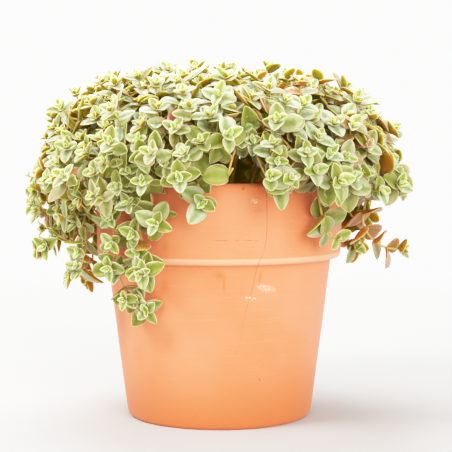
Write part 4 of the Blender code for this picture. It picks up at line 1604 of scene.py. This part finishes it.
@dataclass(frozen=True)
class Bends:
    """How the routes bend, by the numbers that shaped the solids and by those of the sprigs."""

    over_rim: tuple[float, float] = (1 * MM, 11 * MM)
    droop: float = 0.4
    low_run: float = 0.5
    middle: tuple[float, float, float] = (0.45, 0.55, 0.97)
    height: tuple[float, float] = (0.52, 10 * MM)
    sway: float = 4 * MM
    side: tuple[float, float, float] = (0.12, 0.22, 0.25)
    hook: tuple[float, float] = (0.25, 0.5)
    hook_run: float = 8 * MM
    sprig: tuple[float, float] = (0.4, 1.5 * MM)
    counts: tuple[int, int] = (6, 5)


@dataclass(frozen=True)
class Clearance:
    """How leaves give way to the pot, the mix, the part's box and the opening."""

    gap: float = 0.5 * MM
    over_rim: float = 4 * MM
    turn: float = 0.35
    shorter: tuple[float, float] = (0.95, 0.88)
    rounds: int = 6
    middle: float = 0.6
    samples: tuple[tuple[float, float, float], ...] = (
        *((0.2, 0.0, 0.0), (0.4, 1.0, 0.0), (0.4, -1.0, 0.0), (0.7, 0.7, 0.0)),
        *((0.7, -0.7, 0.0), (1.0, 0.0, 0.0), (0.4, 0.0, -0.1)),
    )


@dataclass
class Crassula:
    """The whole plant: its routes, as the solids have them, the shoots that fill it, and its leaves."""

    pot: ClayPot
    mix: PottingMix
    canopy: Canopy = field(default_factory=Canopy)
    leaf: LeafForm = field(default_factory=LeafForm)
    spread: LeafSpread = LeafSpread()
    bends: Bends = Bends()
    clearance: Clearance = Clearance()
    # How many stems the bush has, how many shoots with its side shoots, and how many more places are tried.
    main_stems: int = 32
    shoots: int = 74
    fills: int = 370
    # The first numbers of the trailing stems, sprigs and inner shoots, which seed their draws.
    first_trailer: int = 900
    first_sprig: int = 1000
    first_inner: int = 2000
    # How far a tip turns up, over the rim's height and under it, and how far it strays.
    tip_lift: tuple[float, float] = (0.30, 0.10)
    tip_stray: float = 0.28
    # Inner shoots: how many, how far out as shares of the canopy, their rise over the rim and cover under the
    # dome, how far they stray and turn up, and the golden ratio's share of a turn between them.
    inner_shoots: int = 60
    inner_reach: tuple[float, float] = (0.35, 0.80)
    inner_rise: float = 6 * MM
    inner_cover: float = 16 * MM
    inner_stray: float = 0.5
    inner_lift: float = 0.5
    golden_share: float = 0.618034
    # How far filling shoots at the sides and sprigs lean to the window, and how far right a filling tip goes.
    to_window: float = 0.6
    sprigs_to_window: float = 1.0
    fill_right: float = 113 * MM
    # Sprigs: the gap between them, where they start and end along the stem, and how they head off it.
    sprig_gap: float = 13 * MM
    sprig_start: float = 12 * MM
    sprig_end: float = 0.72
    sprig_stray: float = 0.5
    sprig_ahead: float = 0.3
    sprig_lengths: tuple[float, float] = (7 * MM, 13 * MM)
    sprig_radius: float = 0.65 * MM
    stem_radius: float = 1.1 * MM
    shoot_radius: float = 0.9 * MM
    fill_radius: float = 0.75 * MM
    tip_taper: float = 0.35
    hole_depth: float = 8.0 * MM
    root_spread: float = 66 * MM
    root_margin: float = 3.0 * MM
    root_spacing: float = 8.5 * MM
    root_rise: float = 3.0 * MM
    root_rounds: int = 60
    stem_spacing: float = 7.0 * MM
    stem_rounds: int = 24
    fork_steps: int = 40
    tip_run: float = 16 * MM
    stem_step: float = 4.0 * MM
    stem_sides: int = 7

    def part_roots(self, roots: Array, fixed: Array) -> Array:
        """Moves roots apart until they keep their spacing.

        Args:
            roots: The roots' level places.
            fixed: The places of roots that stay where they are.

        Returns:
            The new places of the roots.
        """
        for _ in range(self.root_rounds):
            apart = roots[:, None] - np.vstack([roots, fixed])[None]
            gap = np.linalg.norm(apart, axis=2)
            np.fill_diagonal(gap, 1.0)
            short = np.clip(self.root_spacing - gap, 0, None)
            roots = roots + 0.5 * (unit(apart) * short[..., None]).sum(1)
            radius = np.linalg.norm(roots, axis=1, keepdims=True)
            roots = roots * np.minimum(1, (self.root_spread + self.root_margin) / np.maximum(radius, 1e-6))
        return roots

    def main_route(self, root: Array, tip: Array, facing: Array, sway: float) -> Array:
        """The route of a main stem: straight up out of the mix, then out to its tip, past the rim if low.

        Args:
            root: Where it comes out of the mix.
            tip: Its tip.
            facing: The way its tip faces.
            sway: How much higher than others it bends over the rim.

        Returns:
            The points of the route, from its foot in the mix.
        """
        bends = self.bends
        if tip[2] < self.pot.height + self.tip_run:
            out, rise = bends.over_rim
            bend = outwards(tip) * (self.pot.rim_radius + out)
            bend[2] = self.pot.height + rise + sway
            droop = bends.droop * max(0.0, bend[2] - tip[2])
            behind_tip = tip - bends.low_run * self.tip_run * facing + [0, 0, droop]
        else:
            of_root, of_tip, drawn_in = bends.middle
            share, rise = bends.height
            bend = drawn_in * (of_root * root + of_tip * tip)
            bend[2] = root[2] + share * (tip[2] - root[2]) + rise
            behind_tip = tip - self.tip_run * facing
        route = through([root + [0, 0, self.root_rise], bend, behind_tip, tip], bends.counts[0])
        return np.vstack([root - [0, 0, self.hole_depth], route])

    def fork_at(self, main: Array, share: float) -> tuple[Array, Array]:
        """The point a share of the way up a main stem, above the mix, and the stem's direction there."""
        line = evenly(main[1:], self.fork_steps + 1)
        index = round(self.fork_steps * share)
        return line[index], unit(line[min(index + self.fork_steps // 10, self.fork_steps)] - line[index])

    def side_route(self, main: Array, tip: Array, facing: Array, share: float) -> Array:
        """The route of a side shoot, which forks off a main stem.

        Args:
            main: The main stem's route.
            tip: The side shoot's tip.
            facing: The way its tip faces.
            share: How far up the main stem it forks.

        Returns:
            The points of the route.
        """
        foot, lead = self.fork_at(main, share)
        reach = np.linalg.norm(tip - foot)
        ahead, towards, back = self.bends.side
        bend = foot + ahead * reach * lead + towards * (tip - foot)
        return through([foot, bend, tip - back * reach * facing, tip], self.bends.counts[1])

    def trailer_route(self, trailer: Trailer) -> Array:
        """The route of a trailing stem through its points, with its tip turned outwards.

        Args:
            trailer: The trailing stem.

        Returns:
            The points of the route, from its foot in the mix.
        """
        root = np.array([*trailer.root, 0.0]) * MM
        root[2] = self.mix.height(np.hypot(root[0], root[1]))
        ways = [root + [0, 0, self.root_rise]] + [np.array(p) * MM for p in trailer.passes]
        lift, onward = self.bends.hook
        hook = outwards(ways[-1]) + [0, 0, lift] + onward * unit(ways[-1] - ways[-2])
        ways.append(ways[-1] + self.bends.hook_run * unit(hook))
        return np.vstack([root - [0, 0, self.hole_depth], through(ways, 4 + 2 * len(trailer.passes))])

    def turned_tips(self, tips: Array, facing: Array, first: int, sinks: tuple[float, float]) -> None:
        """Sinks tips into the canopy a little and turns them away from its normal, each by its own draws.

        Args:
            tips: The tips, which are changed.
            facing: The way each tip faces, which is changed.
            first: The number of the first tip's shoot.
            sinks: The least and most that a tip sinks.
        """
        for i in range(len(tips)):
            draw = draw_for(first + i, "facing")
            lift = self.tip_lift[0 if tips[i][2] > self.canopy.base_z else 1]
            turned_by = [0, 0, lift] + self.tip_stray * draw.normal(size=3)
            tips[i] -= facing[i] * draw.uniform(*sinks)
            facing[i] = unit(facing[i] + turned_by)

    def grow(self) -> list[LeafyStem]:
        """Works out every stem of the plant, with the routes of its shoots and of those that fill it.

        Returns:
            The stems.
        """
        trailing = {name: self.trailer_route(trailer) for name, trailer in TRAILERS.items()}
        rng = np.random.default_rng(SEED)
        points, normals, share = self.canopy.pool(rng)
        taken = np.array([route[-1] for route in trailing.values()])
        order = spread_out(points, taken, self.shoots, rng)
        more = spread_out(points, np.vstack([taken, points[order]]), self.fills, rng)
        tips, facing = points[order], normals[order]
        self.turned_tips(tips, facing, 0, MAIN.sink)
        main_tips = tips[: self.main_stems]
        roots = unit(main_tips[:, :2]) * self.root_spread * share[order][: self.main_stems, None]
        roots = self.part_roots(roots, np.array([route[0][:2] for route in trailing.values()]))
        stems = []
        for i, flat in enumerate(roots):
            root = np.array([*flat, self.mix.height(np.linalg.norm(flat))])
            route = self.main_route(root, tips[i], facing[i], self.bends.sway * (i % 3))
            size = draw_for(i, "growth").uniform(*MAIN.size)
            shoot = Shoot(i, route, self.stem_radius, Habit.BUSH, size)
            stems.append(LeafyStem(f"leafy_stem_{i + 1:02d}", [shoot]))
        for i in range(self.main_stems, self.shoots):
            home = stems[nearest(main_tips, tips[i])]
            draw = draw_for(i, "growth")
            fork, size = draw.uniform(*SIDE.fork), draw.uniform(*SIDE.size)
            route = self.side_route(home.shoots[0].route, tips[i], facing[i], fork)
            home.shoots.append(Shoot(i, route, self.shoot_radius, Habit.BUSH, size, fork))
        for i, (name, route) in enumerate(trailing.items(), start=self.first_trailer):
            kind = TRAILERS[name]
            shoot = Shoot(i, route, self.stem_radius, kind.habit, blush=kind.blush)
            stems.append(LeafyStem(name, [shoot]))
        self.part_stems(stems)
        self.fill(stems, points[more], normals[more])
        self.fill_inside(stems)
        self.add_sprigs(stems)
        return stems

    @staticmethod
    def skeleton(stems: list[LeafyStem]) -> tuple[Array, Array]:
        """Points at small steps along every shoot of the solids.

        Args:
            stems: The stems.

        Returns:
            The points, and the number of the stem that each belongs to.
        """
        points, owners = [], []
        for number, stem in enumerate(stems):
            for shoot in stem.shoots:
                length = lengths_along(shoot.route)[-1]
                line = evenly(shoot.route, max(3, int(length / (2 * MM))))
                points.append(line)
                owners.append(np.full(len(line), number))
        return np.vstack(points), np.concatenate(owners)

    def part_stems(self, stems: list[LeafyStem]) -> None:
        """Bends stems clear that pass too close to each other, except at their roots. Forks follow them.

        Args:
            stems: The stems, whose routes are changed.
        """
        for _ in range(self.stem_rounds):
            points, owners = self.skeleton(stems)
            for number, stem in enumerate(stems):
                others = points[owners != number]
                for shoot in stem.shoots:
                    for point in shoot.route[1 if shoot.fork else 2 :]:
                        away = point - others
                        gap = np.linalg.norm(away, axis=1)
                        near = int(np.argmin(gap))
                        point += 0.5 * max(0.0, self.stem_spacing - gap[near]) * unit(away[near])
                    if shoot.fork:
                        shoot.route[0] = self.fork_at(stem.shoots[0].route, shoot.fork)[0]

    def fill(self, stems: list[LeafyStem], tips: Array, facing: Array) -> None:
        """Adds the shoots that fill the canopy, each forking off the stem whose tip is nearest.

        Those on the sides lean to the window, and all stay a little further in on the right.

        Args:
            stems: The stems, to which the shoots are added.
            tips: The places of the new tips on the canopy, which are changed.
            facing: The canopy's normals there.
        """
        sideways = np.clip(1 - facing[:, 2:], 0, 1)
        facing = facing + self.to_window * sideways * np.array(self.spread.window)
        tips[:, 0] = np.minimum(tips[:, 0], self.fill_right)
        self.turned_tips(tips, facing, self.shoots, FILLING.sink)
        bush = [stem for stem in stems if stem.name not in TRAILERS]
        ends = [(stem, shoot.route[-1]) for stem in bush for shoot in stem.shoots]
        places = np.array([end for _, end in ends])
        for i, tip in enumerate(tips):
            if self.canopy.opens_at(tip) or self.canopy.is_bare(tip):
                continue
            home = ends[nearest(places, tip)][0]
            number = self.shoots + i
            draw = draw_for(number, "growth")
            fork, size = draw.uniform(*FILLING.fork), draw.uniform(*FILLING.size)
            blush = draw.uniform(0, 1) ** FILLING.rare
            route = self.side_route(home.shoots[0].route, tip, facing[i], fork)
            home.fills.append(Shoot(number, route, self.fill_radius, Habit.FILL, size, fork, blush))

    def fill_inside(self, stems: list[LeafyStem]) -> None:
        """Adds shaded shoots under the canopy, each a draw of how far out and how high between mix and dome.

        Args:
            stems: The stems, to which the shoots are added.
        """
        bush = [stem for stem in stems if stem.name not in TRAILERS]
        mains = np.array([stem.shoots[0].route[-3] for stem in bush])
        for k in range(self.inner_shoots):
            number = self.first_inner + k
            draw = draw_for(number, "growth")
            azimuth = 2 * np.pi * (k * self.golden_share % 1)
            radius = self.canopy.radius * draw.uniform(*self.inner_reach)
            tilt = np.arcsin(min(radius / self.canopy.radius, 1.0))
            roof = self.canopy.base_z + self.canopy.dome(np.array([tilt]))[0][1, 0]
            tip = np.array([radius * np.cos(azimuth), radius * np.sin(azimuth), 0.0])
            tip[2] = draw.uniform(self.pot.height + self.inner_rise, roof - self.inner_cover)
            if self.canopy.opens_at(tip):
                continue
            home = bush[nearest(mains, tip)]
            facing = unit(outwards(tip) + self.inner_stray * draw.normal(size=3) + [0, 0, self.inner_lift])
            fork = draw.uniform(*INNER.fork)
            route = self.side_route(home.shoots[0].route, tip, facing, fork)
            size, blush = draw.uniform(*INNER.size), draw.uniform(0, 1) ** INNER.rare
            home.fills.append(Shoot(number, route, self.fill_radius, Habit.FILL, size, fork, blush))

    def add_sprigs(self, stems: list[LeafyStem]) -> None:
        """Adds short side sprigs along the hanging part of each trailing stem that has them.

        Args:
            stems: The stems, to which the sprigs are added.
        """
        number = self.first_sprig
        for stem in stems:
            if stem.name not in TRAILERS or not TRAILERS[stem.name].sprigs:
                continue
            main = stem.shoots[0]
            strand = Strand.of(main, self.stem_step)
            reach = lengths_along(strand.points)[-1]
            share, run = self.bends.sprig
            for back in np.arange(self.sprig_start, self.sprig_end * reach, self.sprig_gap):
                draw = draw_for(number, "growth")
                foot, ahead, _ = (value[0] for value in strand.at(np.array([back])))
                heading = outwards(foot) + self.sprig_stray * draw.normal(size=3) + self.sprig_ahead * ahead
                heading = unit(heading + self.sprigs_to_window * np.array(self.spread.window))
                tip = foot + heading * draw.uniform(*self.sprig_lengths)
                bend = foot + share * (tip - foot) + run * ahead
                route = through([foot, bend, tip], self.bends.counts[1])
                size = draw.uniform(*SPRIGS.size)
                sprig = Shoot(number, route, self.sprig_radius, Habit.SPRIG, size, blush=main.blush)
                stem.fills.append(sprig)
                number += 1

    def leaves(self, shoot: Shoot, strand: Strand) -> LeafBatch:
        """Sets out a shoot's leaves in crossed pairs.

        A pair stands at its way from the tip, a quarter turn from the pair above. Each leaf leans out from
        the stem by its angle, then turns its face some way to the light.

        Args:
            shoot: The shoot.
            strand: The strand along it.

        Returns:
            Its leaves.
        """
        spread = self.spread
        table = np.array(shoot.habit.value, float)
        reach = lengths_along(strand.points)[-1]
        table = table[table[:, 0] * MM * shoot.size < spread.leafy * reach]
        table = np.repeat(table, 2, 0)
        count = len(table)
        pair = np.arange(count) // 2
        draw = draw_for(shoot.number, 0)
        centre, ahead, across = strand.at(table[:, 0] * MM * shoot.size)
        azimuth = pair * np.pi / 2 + np.pi * (np.arange(count) % 2) + spread.azimuth * draw.normal(size=count)
        side = np.cos(azimuth)[:, None] * across + np.sin(azimuth)[:, None] * np.cross(ahead, across)
        lean = np.radians(table[:, 2] + spread.lean * draw.normal(size=count))[:, None]
        along = np.cos(lean) * ahead + np.sin(lean) * side
        normal = np.sin(lean) * ahead - np.cos(lean) * side
        new, ageing = spread.ages
        age = np.clip((table[:, 1] - new) / ageing, 0, 1)
        hang = np.clip((spread.hang_z[0] - centre[:, 2]) / spread.hang_z[1], 0, 1)
        at_middle, depth = spread.in_front
        in_front = hang * np.clip(at_middle - centre[:, 1] / depth, 0, 1)
        from_side, lost = spread.light
        light = outwards(centre) * (from_side + hang)[:, None] + [0, 0, 1.0] * (1 - lost * hang)[:, None]
        light = unit(light + np.array(spread.window) * in_front[:, None])
        turn = age * (spread.to_light + spread.hanging * hang) * draw.uniform(0, 1, count)
        normal = unit(normal + turn[:, None] * light)
        along = squared_to(along, normal)
        right = np.clip(centre[:, 0] / self.canopy.radius, spread.right_least, 1.0) * age
        left = np.clip((spread.left_x[0] - centre[:, 0]) / spread.left_x[1], 0, 1)
        more_length, more_width, more_blush = spread.right
        stray = 1 + spread.length * draw.normal(size=count) + more_length * right
        length = table[:, 1] * MM * shoot.size * stray
        width = draw.uniform(*spread.width, count) + more_width * right
        curl = draw.normal(*spread.curl, count) - spread.droop * age * draw.uniform(0, 1, count) ** 2
        fold = np.abs(draw.normal(0, spread.fold[0], count)) + spread.fold[1] * (1 - age)
        fold = np.where(draw.uniform(0, 1, count) < spread.folded[0], spread.folded[1], fold)
        # Painted light: leaves that face up get more tint, so they are drawn waxier and paler, as if lit from
        # above.
        tint = (1 - spread.upward_light_paling) * draw.uniform(0, 1, count) + spread.upward_light_paling * np.clip(normal[:, 2], 0, 1)
        # The extra blush at the left is partly painted light, for light glowing through the leaves from
        # behind there.
        blush = shoot.blush + more_blush * right + spread.left_blush * left
        blush = blush * draw.uniform(*spread.blush_draw, count)
        growth = np.column_stack([age, tint, np.clip(blush, 0, 1) * age])
        foot = centre + spread.seat * shoot.radius * side
        return LeafBatch(foot, along, normal, length, width, curl, fold, growth)

    def fitted(self, leaves: LeafBatch, low: Array, high: Array) -> LeafBatch:
        """Turns and shortens leaves until they clear the pot, the mix and the part's box, or drops them.

        Args:
            leaves: The leaves.
            low: The lowest corner of the box.
            high: The highest corner of the box.

        Returns:
            The leaves that fit.
        """
        clearance = self.clearance
        in_clay, out_of_box = clearance.shorter
        for _ in range(clearance.rounds):
            inside, beyond = self.faults(leaves, low, high)
            over = np.linalg.norm(leaves.foot[:, :2], axis=1) < self.pot.rim_radius - clearance.over_rim
            escape = np.where(over[:, None], [0.0, 0.0, 1.0], outwards(leaves.foot))
            turned_by = np.where(inside[:, None], clearance.turn * escape, 0)
            leaves.along = unit(leaves.along + turned_by)
            leaves.normal = squared_to(leaves.normal, leaves.along)
            leaves.length = leaves.length * np.where(beyond, out_of_box, np.where(inside, in_clay, 1.0))
        inside, beyond = self.faults(leaves, low, high)
        middle = leaves.foot + clearance.middle * leaves.length[:, None] * leaves.along
        return leaves.kept(~inside & ~beyond & ~self.canopy.opens_at(middle))

    def faults(self, leaves: LeafBatch, low: Array, high: Array) -> tuple[Array, Array]:
        """Tests some places of each leaf.

        Args:
            leaves: The leaves.
            low: The lowest corner of the box.
            high: The highest corner of the box.

        Returns:
            Which leaves reach into the pot or the mix, and which reach out of the box.
        """
        across = np.cross(leaves.normal, leaves.along)[:, None]
        half = (0.5 * leaves.width * leaves.length)[:, None, None]
        way, side, above = np.array(self.clearance.samples).T[..., None]
        lift = way * leaves.curl[:, None, None] / 2 * way + above
        away = way * leaves.along[:, None] + lift * leaves.normal[:, None]
        samples = leaves.foot[:, None] + leaves.length[:, None, None] * away + half * side * across
        inside = self.mix.holds(samples, self.clearance.gap).any(1)
        beyond = ((samples < low) | (samples > high)).any((1, 2))
        return inside, beyond

    def build(self, low: Array, high: Array) -> list[bpy.types.Object]:
        """Makes one piece for each stem, in the place of its solid.

        Args:
            low: The lowest corner of the part's box.
            high: The highest corner of the part's box.

        Returns:
            The pieces.
        """
        materials = [CrassulaLeaf().material(), CrassulaStem().material()]
        pieces = []
        for stem in self.grow():
            shells, batches = [], []
            for shoot in stem.shoots + stem.fills:
                strand = Strand.of(shoot, self.stem_step)
                shells.append(strand.tube(shoot.radius, self.tip_taper, self.stem_sides))
                batches.append(self.leaves(shoot, strand))
            leaves = self.fitted(LeafBatch.joined(batches), low, high)
            shell = Shell.joined([self.leaf.shell(leaves), *shells])
            obj = shell.to_object(f"fine_{stem.name}", materials)
            pieces.append(settle(obj, Slot.LEAF, stem.name))
        return pieces


@dataclass(frozen=True)
class Lamp:
    """A square soft light: where it hangs, the length of its side, its power in watts, and its colour."""

    name: str
    place: tuple[float, float, float]
    size: float
    power: float
    colour: str


@dataclass
class Studio:
    """A plain pale floor, soft light and the camera, which looks at the pot a little from above."""

    camera_place: tuple[float, float, float] = (0.0, -0.866, 0.176)
    pitch: float = 3.1
    yaw: float = 0.31
    focal_pixels: float = 1256.0
    frame_pixels: float = 452.0
    sensor: float = 36.0
    floor_reach: float = 3.0
    sky: str = "F8F8F7"
    sky_seen: float = 1.95
    sky_light: float = 1.25
    aim: tuple[float, float, float] = (0.0, 0.0, 0.14)
    lamps: tuple[Lamp, ...] = (
        Lamp("key", (-0.95, -0.60, 1.25), 0.45, 25.0, "FFFCF6"),
        Lamp("front", (0.70, -1.70, 0.65), 1.20, 43.0, "FFFFFF"),
        Lamp("top_back", (-0.20, 0.65, 1.40), 1.00, 38.0, "FFFDF8"),
    )
    shade: tuple[float, float, float] = (-0.03, -0.02, 0.006)
    tone: tuple[tuple[float, float], ...] = (
        (0.0, 0.0),
        (0.1, 0.065),
        (0.2, 0.155),
        (0.35, 0.31),
        (0.6, 0.53),
        (1.0, 0.77),
        (1.5, 0.92),
        (2.4, 1.0),
    )

    def build(self) -> None:
        """Makes the floor, the lights and the camera."""
        self.add_floor()
        self.add_sky()
        for lamp in self.lamps:
            self.add_lamp(lamp)
        self.add_camera()
        self.set_tone()

    def set_tone(self) -> None:
        """Gives the view a camera's soft shoulder, which pales bright tones, and warms the deep shade."""
        view = bpy.context.scene.view_settings
        view.view_transform = "Standard"
        view.use_curve_mapping = True
        mapping = view.curve_mapping
        top = self.tone[-1][0]
        mapping.white_level = (top, top, top)
        mapping.black_level = self.shade
        # The last of the four curves is for red, green and blue together.
        curve = mapping.curves[3]
        curve.points[0].location = (0.0, 0.0)
        curve.points[1].location = (1.0, self.tone[-1][1])
        for light, shown in self.tone[1:-1]:
            curve.points.new(light / top, shown)
        mapping.update()

    def add_floor(self) -> None:
        """Adds the pale floor, which isn't part of the object."""
        r = self.floor_reach
        mesh = bpy.data.meshes.new("studio_floor")
        mesh.from_pydata([(-r, -r, 0), (r, -r, 0), (r, r, 0), (-r, r, 0)], [], [(0, 1, 2, 3)])
        mesh.materials.append(MattPaint().material())
        floor = bpy.data.objects.new("studio_floor", mesh)
        bpy.context.scene.collection.objects.link(floor)
        floor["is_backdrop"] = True

    def add_sky(self) -> None:
        """Adds even white light from all round, which shows as a brighter white wall behind the plant."""
        world = bpy.data.worlds.new("studio_sky")
        world.use_nodes = True
        world.node_tree.nodes.clear()
        w = Weaver(world.node_tree)
        seen = w.add("LightPath", out="Is Camera Ray")
        strength = w.add("MapRange", [seen, 0.0, 1.0, self.sky_light, self.sky_seen])
        w.add("OutputWorld", [w.add("Background", {"Color": linear(self.sky), "Strength": strength})])
        bpy.context.scene.world = world

    def add_lamp(self, lamp: Lamp) -> None:
        """Adds a soft light that points at the plant.

        Args:
            lamp: The light.
        """
        data = bpy.data.lights.new(lamp.name, "AREA")
        data.size, data.energy, data.color = lamp.size, lamp.power, linear(lamp.colour)[:3]
        obj = bpy.data.objects.new(lamp.name, data)
        obj.location = lamp.place
        obj.rotation_mode = "QUATERNION"
        obj.rotation_quaternion = (Vector(self.aim) - Vector(lamp.place)).to_track_quat("-Z", "Y")
        bpy.context.scene.collection.objects.link(obj)

    def add_camera(self) -> None:
        """Adds the camera at the photograph's viewing angle."""
        data = bpy.data.cameras.new("camera")
        data.sensor_width = self.sensor
        data.lens = self.focal_pixels / self.frame_pixels * self.sensor
        camera = bpy.data.objects.new("camera", data)
        camera.location = self.camera_place
        camera.rotation_euler = (np.radians(90 - self.pitch), 0.0, np.radians(-self.yaw))
        bpy.context.scene.collection.objects.link(camera)
        bpy.context.scene.camera = camera


def main() -> None:
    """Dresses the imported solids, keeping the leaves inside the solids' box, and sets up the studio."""
    low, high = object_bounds()
    Studio().build()
    pot = ClayPot()
    mix = PottingMix(pot)
    pot.build()
    mix.build()
    inset = np.array([BOX_MARGIN, BOX_MARGIN, 0])
    Crassula(pot, mix).build(np.array(low) + inset, np.array(high) - BOX_MARGIN)
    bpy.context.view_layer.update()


if __name__ == "__main__":
    main()
